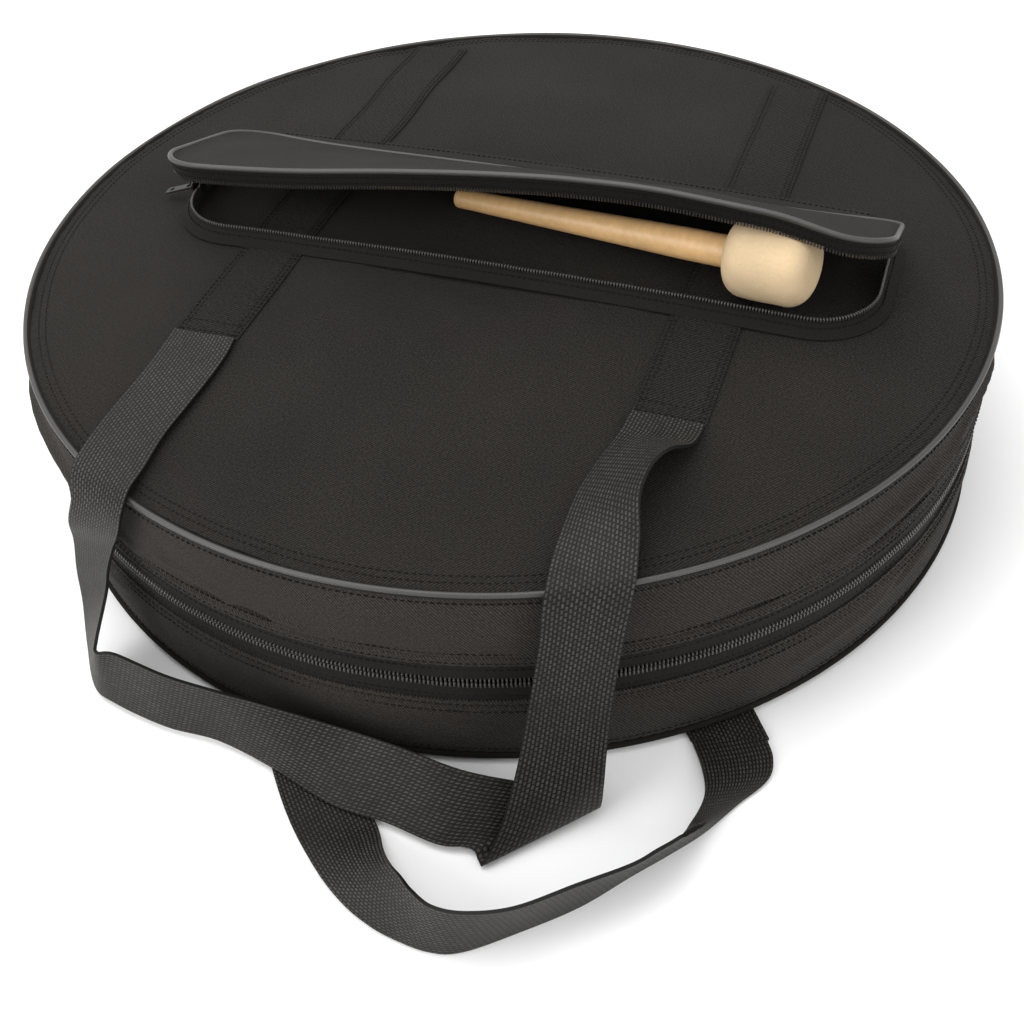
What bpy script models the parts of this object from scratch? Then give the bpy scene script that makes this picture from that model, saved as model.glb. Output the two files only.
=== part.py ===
"""Round padded carry case for a flat hand drum, with a zipped beater pocket, modelled as its sewn pieces.

Frame: the origin is the centre of the base's underside, +Z is up, -Y is the front with the carry
handles and +Y is the rear with the fabric hinge. All lengths are in metres.
"""

import math

import bmesh
import bpy
import numpy as np
from mathutils import Matrix, Vector

MM = 0.001
GAP = 0.3 * MM  # clearance that neighbouring solids keep
STEPS = 60  # facets in a full turn, the same for every ring so that their gaps stay even

# The case as a whole
CASE_RADIUS = 280 * MM  # to the outside of the piping
PIPING_RADIUS = 2.2 * MM
RIM_HEIGHT = 122.8 * MM  # centre of the lid's piping
BASE_PIPING_HEIGHT = 5.1 * MM
ZIP_HEIGHT = 61 * MM
CROWN = 8 * MM  # how far the lid's middle stands above its edge
FABRIC = 0.9 * MM
LID_FABRIC = 1.2 * MM
FOAM = 8 * MM
WALL_FOAM = 6.2 * MM
LINING = 0.8 * MM

PIPING_RING = CASE_RADIUS - PIPING_RADIUS
PANEL_RADIUS = PIPING_RING - PIPING_RADIUS - GAP
LID_EDGE = RIM_HEIGHT + 1.0 * MM  # top of the lid's fabric where it meets the piping

# Wall layers, as the outer radius of each
SHELL_RADIUS = CASE_RADIUS - PIPING_RADIUS
TAPE_RADIUS = SHELL_RADIUS - FABRIC - GAP
COIL_RADIUS = SHELL_RADIUS + 0.2 * MM
WALL_FOAM_RADIUS = TAPE_RADIUS - 0.8 * MM - GAP
LINING_RADIUS = WALL_FOAM_RADIUS - WALL_FOAM - GAP
INNER_RADIUS = LINING_RADIUS - LINING - GAP

# The main zip, as distances from its centre line
COIL_NEAR = 0.5 * MM
COIL_FAR = 2.9 * MM
TAPE_FAR = 18 * MM
SHELL_EDGE = 13 * MM
FOAM_EDGE = 14 * MM
HINGE_HALF = 16 * MM
HINGE_START = 66  # degrees, measured from +X towards the rear
HINGE_END = 114

# Straps
WEBBING = 38 * MM
WEBBING_THICK = 1.6 * MM
STRAP_X = 129 * MM  # centre line of each strap cover
COVER_WIDTH = 38.4 * MM
COVER_FRONT = -131.3 * MM
HANDLE_AXIS_Y = -132.5 * MM
HANDLE_AXIS_Z = 129.8 * MM

# The beater pocket on the lid
POCKET_X = 8 * MM
POCKET_HALF = 206 * MM  # half its length, at the zip
POCKET_FRONT = -42 * MM
POCKET_CORNER = 36 * MM
LIP_LEAN = 6 * MM
LIP_BASE = 1.9 * MM  # heights above the lid
LIP_TOP = 6.3 * MM
LIP_COIL_LOW = 6.6 * MM
LIP_COIL_TOP = 8.8 * MM
GUSSET_BACK = 79 * MM
FLAP_AXIS_Y = 66 * MM
FLAP_AXIS_HEIGHT = 3.4 * MM  # above the lid
FLAP_DEPTH = 115 * MM
FLAP_HALF = 210 * MM
FLAP_CORNER = 30 * MM
# How steeply the raised flap stands off the lid, in degrees, at places along X in millimetres
FLAP_PITCH_AT = (-202, -154, -106, -58, -10, 38, 86, 110, 134, 158, 170, 182, 194, 206, 218)
FLAP_PITCH = (18.5, 21.2, 23.4, 26.3, 28.8, 30.8, 31.8, 31.5, 30.8, 30.3, 29.4, 27.6, 26.2, 25.6, 25.6)
FLAP_PIPING = 1.5 * MM
SKIRT_DEPTH = 9.5 * MM

# The beater
HEAD_CENTRE = Vector((157, -21.4, 154.9)) * MM
STICK_TIP = Vector((-39, 22, 137.2)) * MM
HEAD_RADIUS = 22.4 * MM
HEAD_HALF = 23.5 * MM

# Zip sliders
SLIDER_ANGLE = 56  # degrees, where the main slider is parked behind the right side
PLATE_OUT = 1.2 * MM


def clear_scene():
    for item in list(bpy.data.objects):
        bpy.data.objects.remove(item, do_unlink=True)


def finish(name, colour, roughness, metallic=0.0):
    material = bpy.data.materials.new(name)
    material.use_nodes = True
    shader = material.node_tree.nodes["Principled BSDF"]
    shader.inputs["Base Color"].default_value = (*colour, 1.0)
    shader.inputs["Roughness"].default_value = roughness
    shader.inputs["Metallic"].default_value = metallic
    return material


def solid(name, material, verts, faces, smooth=False):
    """One closed solid from its points and faces, with its faces turned outwards."""
    mesh = bpy.data.meshes.new(name)
    mesh.from_pydata([tuple(point) for point in verts], [], faces)
    shape = bmesh.new()
    shape.from_mesh(mesh)
    bmesh.ops.recalc_face_normals(shape, faces=shape.faces)
    shape.to_mesh(mesh)
    shape.free()
    mesh.materials.append(material)
    if smooth:
        mesh.shade_smooth()
    body = bpy.data.objects.new(name, mesh)
    bpy.context.scene.collection.objects.link(body)
    return body


def turned(name, material, profile, start=0, end=360, steps=STEPS, smooth=True):
    """A profile of (radius, height) points turned about Z, closed on itself or capped at both ends."""
    whole = end - start == 360
    count = round(steps * (end - start) / 360)
    stations = count if whole else count + 1
    verts = []
    for i in range(stations):
        angle = math.radians(start + (end - start) * i / count)
        verts += [(r * math.cos(angle), r * math.sin(angle), z) for r, z in profile]
    size = len(profile)
    faces = []
    for i in range(count):
        here, there = i * size, (i + 1) % stations * size
        for j in range(size):
            k = (j + 1) % size
            faces.append((here + j, there + j, there + k, here + k))
    if not whole:
        faces.append(tuple(range(size)))
        faces.append(tuple(range((stations - 1) * size, stations * size)))
    return solid(name, material, verts, faces, smooth)


def band(name, material, outer, thick, low, high, start=0, end=360):
    """A ring of cloth or foam that stands on edge."""
    profile = [(outer, low), (outer, high), (outer - thick, high), (outer - thick, low)]
    return turned(name, material, profile, start, end, smooth=False)


def disc(name, material, radius, top, thick, rings=(0.36, 0.7)):
    """A round sheet whose upper face follows the height function top(radius)."""
    radii = [radius * share for share in rings] + [radius]
    verts = [(0, 0, top(0)), (0, 0, top(0) - thick)]
    for r in radii:
        for drop in (0, thick):
            for i in range(STEPS):
                angle = 2 * math.pi * i / STEPS
                verts.append((r * math.cos(angle), r * math.sin(angle), top(r) - drop))
    faces = []
    for side in (0, 1):
        first = 2 + side * STEPS
        for i in range(STEPS):
            k = (i + 1) % STEPS
            faces.append((side, first + i, first + k))
            for ring in range(len(radii) - 1):
                here = 2 + (2 * ring + side) * STEPS
                there = here + 2 * STEPS
                faces.append((here + i, there + i, there + k, here + k))
    rim = 2 + 2 * (len(radii) - 1) * STEPS
    for i in range(STEPS):
        k = (i + 1) % STEPS
        faces.append((rim + i, rim + k, rim + STEPS + k, rim + STEPS + i))
    return solid(name, material, verts, faces)


def sheet(name, material, rows, thick):
    """A grid of points thickened both ways along its own normals."""
    across, along = len(rows[0]), len(rows)
    grid = [[Vector(point) for point in row] for row in rows]
    front, back = [], []
    for i in range(along):
        for j in range(across):
            ahead = grid[min(i + 1, along - 1)][j] - grid[max(i - 1, 0)][j]
            aside = grid[i][min(j + 1, across - 1)] - grid[i][max(j - 1, 0)]
            normal = ahead.cross(aside).normalized() * (thick / 2)
            front.append(grid[i][j] + normal)
            back.append(grid[i][j] - normal)
    total = len(front)
    faces = []
    for i in range(along - 1):
        for j in range(across - 1):
            quad = [i * across + j, (i + 1) * across + j, (i + 1) * across + j + 1, i * across + j + 1]
            faces.append(tuple(quad))
            faces.append(tuple(total + corner for corner in quad))
    edge = [i * across for i in range(along)]
    edge += [(along - 1) * across + j for j in range(1, across)]
    edge += [i * across + across - 1 for i in range(along - 2, -1, -1)]
    edge += [j for j in range(across - 2, 0, -1)]
    for here, there in zip(edge, edge[1:] + edge[:1]):
        faces.append((here, there, total + there, total + here))
    return solid(name, material, front + back, faces)


def tube(name, material, points, radius, closed=False):
    """A round cord along a path, drawn as a bevelled curve."""
    curve = bpy.data.curves.new(name, "CURVE")
    curve.dimensions = "3D"
    curve.bevel_depth = radius
    curve.bevel_resolution = 1
    curve.use_fill_caps = not closed
    spline = curve.splines.new("POLY")
    spline.points.add(len(points) - 1)
    for slot, point in zip(spline.points, points):
        slot.co = (*point, 1.0)
    spline.use_cyclic_u = closed
    curve.materials.append(material)
    cord = bpy.data.objects.new(name, curve)
    bpy.context.scene.collection.objects.link(cord)
    return cord


def lid_height(x, y):
    """The top of the lid's fabric above the floor."""
    return LID_EDGE + CROWN * (1 - (x * x + y * y) / CASE_RADIUS**2)


def on_lid(x, y, above):
    return Vector((x, y, lid_height(x, y) + above))


# ---------------------------------------------------------------- base and lid


def piping_profile(height, sides=6):
    turns = [2 * math.pi * i / sides for i in range(sides)]
    return [
        (PIPING_RING + PIPING_RADIUS * math.cos(a), height + PIPING_RADIUS * math.sin(a)) for a in turns
    ]


def zip_side(prefix, materials, side):
    """The tape and the coil on one side of the main zip: side is -1 for the base and 1 for the lid."""
    start, end = HINGE_END, HINGE_START + 360
    tape = sorted(ZIP_HEIGHT + side * d for d in (COIL_FAR + GAP, TAPE_FAR))
    coil = sorted(ZIP_HEIGHT + side * d for d in (COIL_NEAR, COIL_FAR))
    band(f"{prefix}_zip_tape", materials["tape"], TAPE_RADIUS, 0.8 * MM, *tape, start, end)
    band(f"{prefix}_zip_coil", materials["coil"], COIL_RADIUS, 2.6 * MM, *coil, start, end)


def base_channels(panel):
    """Shallow channels in the underside, where the straps are sewn into the padding."""
    clear = 0.5 * MM
    cuts = []
    for x in (-STRAP_X, STRAP_X):
        cuts.append((Vector((x, 75 * MM, 0)), Vector((0, 1, 0)), 207.5 * MM, COVER_WIDTH + 2 * clear))
    for foot, toe in base_leg_lines():
        middle, along = (foot + toe) / 2, (toe - foot)
        cuts.append((middle, along.normalized(), along.length / 2 + 30 * MM, WEBBING + 2 * clear))
    for i, (middle, along, half, width) in enumerate(cuts):
        aside = Vector((-along.y, along.x, 0)) * (width / 2)
        corners = [middle + along * half * a + aside * b for a, b in ((-1, -1), (1, -1), (1, 1), (-1, 1))]
        verts = [Vector((c.x, c.y, z)) for z in (-1 * MM, 2.3 * MM) for c in corners]
        faces = [(3, 2, 1, 0), (4, 5, 6, 7)] + [(j, (j + 1) % 4, 4 + (j + 1) % 4, 4 + j) for j in range(4)]
        cutter = solid(f"base_channel_cutter_{i}", panel.data.materials[0], verts, faces)
        cutter.hide_render = True
        cutter.display_type = "WIRE"
        cut = panel.modifiers.new(f"channel_{i}", "BOOLEAN")
        cut.operation = "DIFFERENCE"
        cut.object = cutter


def base_leg_lines():
    """Where each leg of the lower handle starts under the case and where it leaves the wall."""
    left = (Vector((-120, -143.5, 0)) * MM, Vector((-13.8, -286.7, 0)) * MM)
    right = (Vector((134.5, -143, 0)) * MM, Vector((187.9, -220.7, 0)) * MM)
    return left, right


def base_half(materials):
    panel = disc("base_panel", materials["cloth"], PANEL_RADIUS, lambda r: 3.2 * MM, 3.2 * MM, ())
    base_channels(panel)
    disc("base_foam", materials["foam"], INNER_RADIUS + LINING + GAP, lambda r: 9.5 * MM, 6 * MM, ())
    disc("base_lining", materials["lining"], INNER_RADIUS, lambda r: 10.6 * MM, LINING, ())
    turned("base_piping", materials["piping"], piping_profile(BASE_PIPING_HEIGHT))
    shell_low = BASE_PIPING_HEIGHT + PIPING_RADIUS + GAP
    band("base_wall_shell", materials["cloth"], SHELL_RADIUS, FABRIC, shell_low, ZIP_HEIGHT - SHELL_EDGE)
    band(
        "base_wall_foam", materials["foam"], WALL_FOAM_RADIUS, WALL_FOAM, 3.5 * MM, ZIP_HEIGHT - FOAM_EDGE
    )
    band("base_wall_lining", materials["lining"], LINING_RADIUS, LINING, 9.8 * MM, ZIP_HEIGHT - FOAM_EDGE)
    zip_side("base", materials, -1)
    for side, name in ((-1, "left"), (1, "right")):
        rows = [(side * STRAP_X + x, y, 0.85 * MM) for y in (COVER_FRONT, 236 * MM) for x in half_widths()]
        sheet(f"base_strap_cover_{name}", materials["cover"], [rows[:2], rows[2:]], 1.5 * MM)
    hinge_low, hinge_high = ZIP_HEIGHT - HINGE_HALF, ZIP_HEIGHT + HINGE_HALF
    outer = SHELL_RADIUS + GAP + 0.8 * MM
    band("hinge_panel", materials["cloth"], outer, 0.8 * MM, hinge_low, hinge_high, HINGE_START, HINGE_END)


def half_widths():
    return (-COVER_WIDTH / 2, COVER_WIDTH / 2)


def lid_half(materials):
    def top(r):
        return LID_EDGE + CROWN * (1 - (r / CASE_RADIUS) ** 2)

    disc("lid_panel", materials["cloth"], PANEL_RADIUS, top, LID_FABRIC)
    foam_top = LID_FABRIC + GAP
    lining_top = foam_top + FOAM + GAP
    foam_radius = INNER_RADIUS + LINING + GAP
    disc("lid_foam", materials["foam"], foam_radius, lambda r: top(r) - foam_top, FOAM)
    disc("lid_lining", materials["lining"], INNER_RADIUS, lambda r: top(r) - lining_top, LINING)
    turned("lid_piping", materials["piping"], piping_profile(RIM_HEIGHT))
    shell_high = RIM_HEIGHT - PIPING_RADIUS - GAP
    band("lid_wall_shell", materials["cloth"], SHELL_RADIUS, FABRIC, ZIP_HEIGHT + SHELL_EDGE, shell_high)
    foam_high = LID_EDGE - LID_FABRIC - 0.6 * MM
    band("lid_wall_foam", materials["foam"], WALL_FOAM_RADIUS, WALL_FOAM, ZIP_HEIGHT + FOAM_EDGE, foam_high)
    lining_high = LID_EDGE - foam_top - FOAM - 2 * GAP
    band(
        "lid_wall_lining", materials["lining"], LINING_RADIUS, LINING, ZIP_HEIGHT + FOAM_EDGE, lining_high
    )
    zip_side("lid", materials, 1)
    for side, name in ((-1, "left"), (1, "right")):
        rear = math.sqrt(PANEL_RADIUS**2 - (STRAP_X + COVER_WIDTH / 2) ** 2) - 2 * MM
        spans = 10
        rows = []
        for i in range(spans + 1):
            y = COVER_FRONT + (rear - COVER_FRONT) * i / spans
            rows.append([on_lid(side * STRAP_X + x, y, 0.85 * MM) for x in half_widths()])
        sheet(f"lid_strap_cover_{name}", materials["cover"], rows, 1.0 * MM)


# ---------------------------------------------------------------- beater pocket


def pocket_line(grow=0.0, arc=6, run=6, back=50 * MM):
    """The pocket's outline seen from above, from its left end round the front to its right end."""
    half, front = POCKET_HALF + grow, POCKET_FRONT - grow
    radius = POCKET_CORNER + grow
    points = [Vector((POCKET_X - half, back)), Vector((POCKET_X - half, back / 2))]
    left, right = POCKET_X - half + radius, POCKET_X + half - radius
    for i in range(arc + 1):
        angle = math.pi + math.pi / 2 * i / arc
        points.append(Vector((left + radius * math.cos(angle), front + radius + radius * math.sin(angle))))
    for i in range(1, run):
        points.append(Vector((left + (right - left) * i / run, front)))
    for i in range(arc + 1):
        angle = -math.pi / 2 + math.pi / 2 * i / arc
        points.append(Vector((right + radius * math.cos(angle), front + radius + radius * math.sin(angle))))
    points += [Vector((POCKET_X + half, back / 2)), Vector((POCKET_X + half, back))]
    return points


def pocket_lip(materials):
    foot, head = pocket_line(LIP_LEAN), pocket_line()
    rows = [[on_lid(a.x, a.y, LIP_BASE), on_lid(b.x, b.y, LIP_TOP)] for a, b in zip(foot, head)]
    sheet("pocket_lip", materials["cloth"], rows, 1.0 * MM)
    low, high = LIP_COIL_LOW + 0.3 * MM, LIP_COIL_TOP
    rows = [[on_lid(p.x, p.y, low), on_lid(p.x, p.y, high)] for p in head]
    sheet("pocket_lip_coil", materials["coil"], rows, 2.2 * MM)
    spans = 8
    rows = []
    for i in range(spans + 1):
        x = POCKET_X + (2 * i / spans - 1) * (POCKET_HALF - 22 * MM)
        rows.append([on_lid(x, FLAP_AXIS_Y + 2.4 * MM, 2.3 * MM), on_lid(x, GUSSET_BACK, 2.3 * MM)])
    sheet("pocket_back_gusset", materials["cloth"], rows, 1.0 * MM)


def flap_point(x, depth, off=0.0):
    """A point on the raised flap: x along the case, depth from the hinge, off below its underside."""
    u = (x - POCKET_X) / FLAP_HALF
    lift = (8 if u < 0 else 6) * MM * u**6
    near = [x / MM + d for d in (-14, -7, 0, 7, 14)]
    pitch = math.radians(np.mean(np.interp(near, FLAP_PITCH_AT, FLAP_PITCH)))
    base = on_lid(x, FLAP_AXIS_Y, FLAP_AXIS_HEIGHT + lift)
    along = Vector((0, -math.cos(pitch), math.sin(pitch)))
    lean = math.radians(10)
    below = Vector((0, math.sin(lean), -math.cos(lean)))
    return base + along * depth + below * off


def flap_outline(arc=5, run=12):
    """The flap's edge as (x, depth), from its back left corner round the front and along the back."""
    left, right = POCKET_X - FLAP_HALF, POCKET_X + FLAP_HALF
    centres = [
        (left + FLAP_CORNER, FLAP_CORNER, 1.5),
        (left + FLAP_CORNER, FLAP_DEPTH - FLAP_CORNER, 1.0),
        (right - FLAP_CORNER, FLAP_DEPTH - FLAP_CORNER, 0.5),
        (right - FLAP_CORNER, FLAP_CORNER, 0.0),
    ]
    corners = []
    for x, depth, turn in centres:
        arc_points = []
        for i in range(arc + 1):
            angle = math.pi * (turn - 0.5 * i / arc)
            reach = (math.cos(angle), math.sin(angle))
            arc_points.append((x + FLAP_CORNER * reach[0], depth + FLAP_CORNER * reach[1]))
        corners.append(arc_points)
    front = [
        (left + FLAP_CORNER + (right - left - 2 * FLAP_CORNER) * i / run, FLAP_DEPTH)
        for i in range(1, run)
    ]
    back = [(x, 0.0) for x, _ in reversed(front)]
    return corners, front, back


def flap(materials):
    corners, front, back = flap_outline()
    inset = FLAP_PIPING + 0.7 * MM
    spans = 26
    left, right = POCKET_X - FLAP_HALF, POCKET_X + FLAP_HALF
    rows = []
    for i in range(spans + 1):
        share = i / spans
        x = left + inset + (right - left - 2 * inset) * (0.5 - 0.5 * math.cos(math.pi * share))
        near = min(x - left, right - x) - inset
        cut = 0.0
        if near < FLAP_CORNER - inset:
            inner = FLAP_CORNER - inset
            cut = inner - math.sqrt(max(inner**2 - (inner - near) ** 2, 0.0))
        low, high = cut + inset, FLAP_DEPTH - cut - inset
        rows.append([flap_point(x, low + (high - low) * k / 4) for k in range(5)])
    sheet("flap_panel", materials["cloth"], rows, 1.2 * MM)
    loop = corners[0] + corners[1] + front + corners[2] + corners[3] + back
    tube("flap_piping", materials["piping"], [flap_point(x, d) for x, d in loop], FLAP_PIPING, closed=True)
    three_sides = corners[1] + front + corners[2]
    ends = [(left, FLAP_CORNER + 4 * MM), (left, FLAP_DEPTH / 2)]
    others = [(right, FLAP_DEPTH / 2), (right, FLAP_CORNER + 4 * MM)]
    edge = ends + three_sides + others
    skirt_top = FLAP_PIPING + 0.9 * MM
    rows = [[flap_point(x, d, skirt_top), flap_point(x, d, SKIRT_DEPTH)] for x, d in edge]
    sheet("flap_skirt", materials["cloth"], rows, 0.9 * MM)
    low, high = SKIRT_DEPTH + 0.9 * MM, SKIRT_DEPTH + 3.1 * MM
    rows = [[flap_point(x, d, low), flap_point(x, d, high)] for x, d in edge]
    sheet("flap_coil", materials["coil"], rows, 2.2 * MM)


# ---------------------------------------------------------------- beater


def beater(materials):
    axis = (HEAD_CENTRE - STICK_TIP).normalized()
    reach = (HEAD_CENTRE - STICK_TIP).length
    place = Matrix.Translation(STICK_TIP) @ axis.to_track_quat("Z", "Y").to_matrix().to_4x4()
    neck, core = 9.3 * MM, 14 * MM
    face = reach - HEAD_HALF
    stick = [(0.0005, 0), (3.4, 0.4), (4.8, 2.4), (5.8, 20), (7.0, 55), (8.9, 150)]
    profile = [(r * MM, z * MM) for r, z in stick] + [(8.9 * MM, reach + 10 * MM), (0.5e-6, reach + 10 * MM)]
    profile[0] = (0.5e-6, 0.0)
    rounded = [(HEAD_RADIUS - 12 * MM * (1 - math.cos(a)), 12 * MM * math.sin(a)) for a in quarter()]
    outer = [(r, face + 12 * MM - z) for r, z in reversed(rounded)]
    outer += [(r, face + 2 * HEAD_HALF - 12 * MM + z) for r, z in rounded]
    inner = [(0.5e-6, reach + 12.5 * MM), (core + GAP, reach + 12.5 * MM), (core + GAP, reach - 15 * MM)]
    inner.append((neck, reach - 15 * MM))
    felt_profile = [(neck, face)] + outer + [(0.5e-6, face + 2 * HEAD_HALF)] + inner
    core_profile = [(neck, reach - 14 * MM), (core, reach - 14 * MM), (core, reach + 12 * MM)]
    core_profile.append((neck, reach + 12 * MM))
    pieces = (
        lathe("beater_stick", materials["wood"], profile),
        turned("beater_core", materials["wood"], core_profile, steps=20),
        lathe("beater_felt", materials["felt"], felt_profile),
    )
    for piece in pieces:
        piece.matrix_world = place


def quarter(steps=4):
    return [math.pi / 2 * i / steps for i in range(steps + 1)]


def lathe(name, material, profile, steps=20):
    """A turned piece whose profile starts and ends on its axis, or leaves and rejoins it."""
    verts, rings = [], []
    for r, z in profile:
        if r < 1e-6:
            rings.append([len(verts)])
            verts.append((0, 0, z))
            continue
        ring = list(range(len(verts), len(verts) + steps))
        rings.append(ring)
        turns = [2 * math.pi * i / steps for i in range(steps)]
        verts += [(r * math.cos(a), r * math.sin(a), z) for a in turns]
    pairs = list(zip(rings, rings[1:]))
    if len(rings[0]) > 1:
        pairs.append((rings[-1], rings[0]))
    faces = []
    for here, there in pairs:
        for i in range(steps):
            k = (i + 1) % steps
            if len(here) == 1 and len(there) == 1:
                continue
            if len(here) == 1:
                faces.append((here[0], there[i], there[k]))
            elif len(there) == 1:
                faces.append((here[i], there[0], here[k]))
            else:
                faces.append((here[i], there[i], there[k], here[k]))
    return solid(name, material, verts, faces, smooth=True)


# ---------------------------------------------------------------- zip sliders


def extruded(name, material, outline, half):
    """An outline of (x, z) points given a width of 2 * half along Y."""
    size = len(outline)
    verts = [(x, side * half, z) for side in (-1, 1) for x, z in outline]
    faces = [tuple(range(size)), tuple(range(size, 2 * size))]
    faces += [(i, (i + 1) % size, size + (i + 1) % size, size + i) for i in range(size)]
    return solid(name, material, verts, faces)


def slider(name, material, height, inside, outside, place):
    """A zip slider: two plates joined by a thin post between the coils, with a bridge for its pull.

    x runs outwards from the coils' middle, z is up and y follows the zip.
    """
    post = 0.25 * MM
    x0, x1, x2, x3 = inside - PLATE_OUT, inside, outside, outside + PLATE_OUT
    outline = [(x0, -height), (x1, -height), (x1, -post), (x2, -post), (x2, -height), (x3, -height)]
    outline += [(x, -z) for x, z in reversed(outline)]
    body = extruded(name, material, outline, 4.5 * MM)
    gap, wall = 1.9 * MM, 1.0 * MM
    low, high = -3.0 * MM, 2.6 * MM
    sunk = x3 - 0.5 * MM
    bridge = [(sunk, low), (x3 + gap + wall, low), (x3 + gap + wall, high), (sunk, high)]
    bridge += [(sunk, high - wall), (x3 + gap, high - wall), (x3 + gap, low + wall), (sunk, low + wall)]
    loop = extruded(f"{name}_bridge", material, bridge, 1.0 * MM)
    loop.hide_render = True
    loop.display_type = "WIRE"
    join = body.modifiers.new("bridge", "BOOLEAN")
    join.operation = "UNION"
    join.object = loop
    body.matrix_world = place
    loop.matrix_world = place
    return x3 + gap / 2


def pull(name, material, axis_x, place, raised=0.0):
    """A flat pull with a window for the bridge and a hole near its tip, hung from its top bar."""
    half, length, thick = 3.3 * MM, 21 * MM, 0.6 * MM
    window, bar = 1.7 * MM, 0.6 * MM
    bottom = -4.5 * MM
    hole_half, hole_top, hole_low = 1.5 * MM, -15 * MM, -18 * MM
    ys = [-half, -window, window, half]
    zs = [bar, -bar, bottom, hole_top, hole_low, -length]
    columns = {0: [-half, -window, window, half], 1: [-half, -hole_half, hole_half, half]}
    verts, faces = [], []

    def level(z, row):
        start = len(verts)
        verts.extend((x, y, z) for x in (-thick, thick) for y in row)
        return start

    rows = [ys, ys, ys, columns[1], columns[1], columns[1]]
    starts = [level(z, row) for z, row in zip(zs, rows)]
    holes = {(1, 1), (3, 1)}
    for i in range(5):
        for j in range(3):
            if (i, j) in holes:
                continue
            a, b = starts[i] + j, starts[i + 1] + j
            faces.append((a, a + 1, b + 1, b))
            faces.append((a + 4, a + 5, b + 5, b + 4))
    for i in range(5):
        for j in (0, 3):
            a, b = starts[i] + j, starts[i + 1] + j
            faces.append((a, b, b + 4, a + 4))
    for start in (starts[0], starts[-1]):
        for j in range(3):
            faces.append((start + j, start + j + 1, start + j + 5, start + j + 4))
    for i, j in sorted(holes):
        a, b = starts[i] + j, starts[i + 1] + j
        ring = [a, a + 1, b + 1, b]
        faces += [(ring[k], ring[(k + 1) % 4], ring[(k + 1) % 4] + 4, ring[k] + 4) for k in range(4)]
    body = solid(name, material, verts, faces)
    hang = Matrix.Translation((axis_x, 0, -0.2 * MM)) @ Matrix.Rotation(-raised, 4, "Y")
    body.matrix_world = place @ hang


def sliders(materials):
    angle = math.radians(SLIDER_ANGLE)
    middle = COIL_RADIUS - 1.3 * MM
    place = Matrix.Rotation(angle, 4, "Z") @ Matrix.Translation((middle, 0, ZIP_HEIGHT))
    axis = slider("main_slider", materials["metal"], 5.5 * MM, -2.4 * MM, 1.8 * MM, place)
    pull("main_pull", materials["metal"], axis, place)
    corner = pocket_line()[2]
    height = lid_height(corner.x, corner.y) + LIP_COIL_TOP + 0.6 * MM
    place = Matrix.Translation((corner.x, corner.y, height)) @ Matrix.Rotation(math.pi, 4, "Z")
    axis = slider("pocket_slider", materials["metal"], 3.2 * MM, -2.0 * MM, 2.0 * MM, place)
    pull("pocket_pull", materials["metal"], axis, place, raised=math.radians(70))


# ---------------------------------------------------------------- carry handles

# The upper handle as pairs of edge points in millimetres, from its left leg on the lid, over the rim,
# along the floor in front of the case, round a diagonal fold and back up to the right leg.
LID_HANDLE = [
    ((-147.5, -133.4, 129.4), (-110.5, -133.4, 130.2)),
    ((-146.5, -150, 128.9), (-108.5, -147, 129.9)),
    ((-146, -172, 128.4), (-108, -166, 129.5)),
    ((-147, -197, 127.6), (-109, -190, 128.7)),
    ((-147, -221, 127.0), (-110, -214, 127.9)),
    ((-145, -240, 127.0), (-108, -238, 127.4)),
    ((-143, -249, 124.9), (-107, -254, 127.4)),
    ((-140, -257, 117), (-105.5, -266, 122.5)),
    ((-145, -259, 102), (-110, -267, 110)),
    ((-152, -253, 80), (-119, -264, 94)),
    ((-156, -254, 58), (-126, -265, 77)),
    ((-156, -258, 37), (-130, -267, 62)),
    ((-154, -267, 16), (-132, -283, 42)),
    ((-142, -285, 4), (-129, -289, 39.5)),
    ((-126, -292, 3.6), (-119, -288, 40.5)),
    ((-92, -298, 3.6), (-87, -293.5, 41)),
    ((-62, -298, 3.6), (-58, -295, 41)),
    ((-29, -305, 3.6), (-34, -294, 39)),
    ((10, -317, 3.6), (8, -291, 31)),
    ((40, -319, 3.6), (40, -294, 32)),
    ((68, -323, 3.4), (72, -296, 29)),
    ((81, -321, 3.8), (102, -288, 20)),
    ((86.5, -321.5, 3.6), (129.5, -275.5, 7)),
    ((89.5, -324.5, 1.6), (133, -278.5, 3)),
    ((93, -326.5, 4.4), (137, -281.5, 7)),
    ((98, -312, 18), (138.5, -281, 24)),
    ((101, -293, 45), (139, -277, 47)),
    ((103, -280, 74), (140, -270, 78)),
    ((105, -270, 103), (141.5, -259, 106)),
    ((105.5, -266, 121), (142.5, -251, 121)),
    ((105, -258, 127.6), (142.5, -244, 127.4)),
    ((103, -244, 128), (140.5, -233, 130.5)),
    ((102, -229, 128.6), (138, -221, 136)),
    ((101.5, -206, 129.2), (134.5, -209, 145)),
    ((102.5, -191, 129.9), (134, -199, 148)),
    ((105, -175, 130.4), (135.5, -187, 149)),
    ((107.5, -162, 130.6), (140, -173, 146)),
    ((109.5, -150, 130.6), (146, -156, 135)),
    ((110, -141, 130.5), (147.5, -143, 130.4)),
    ((110.5, -133.4, 130.2), (147.5, -133.4, 129.4)),
]

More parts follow.
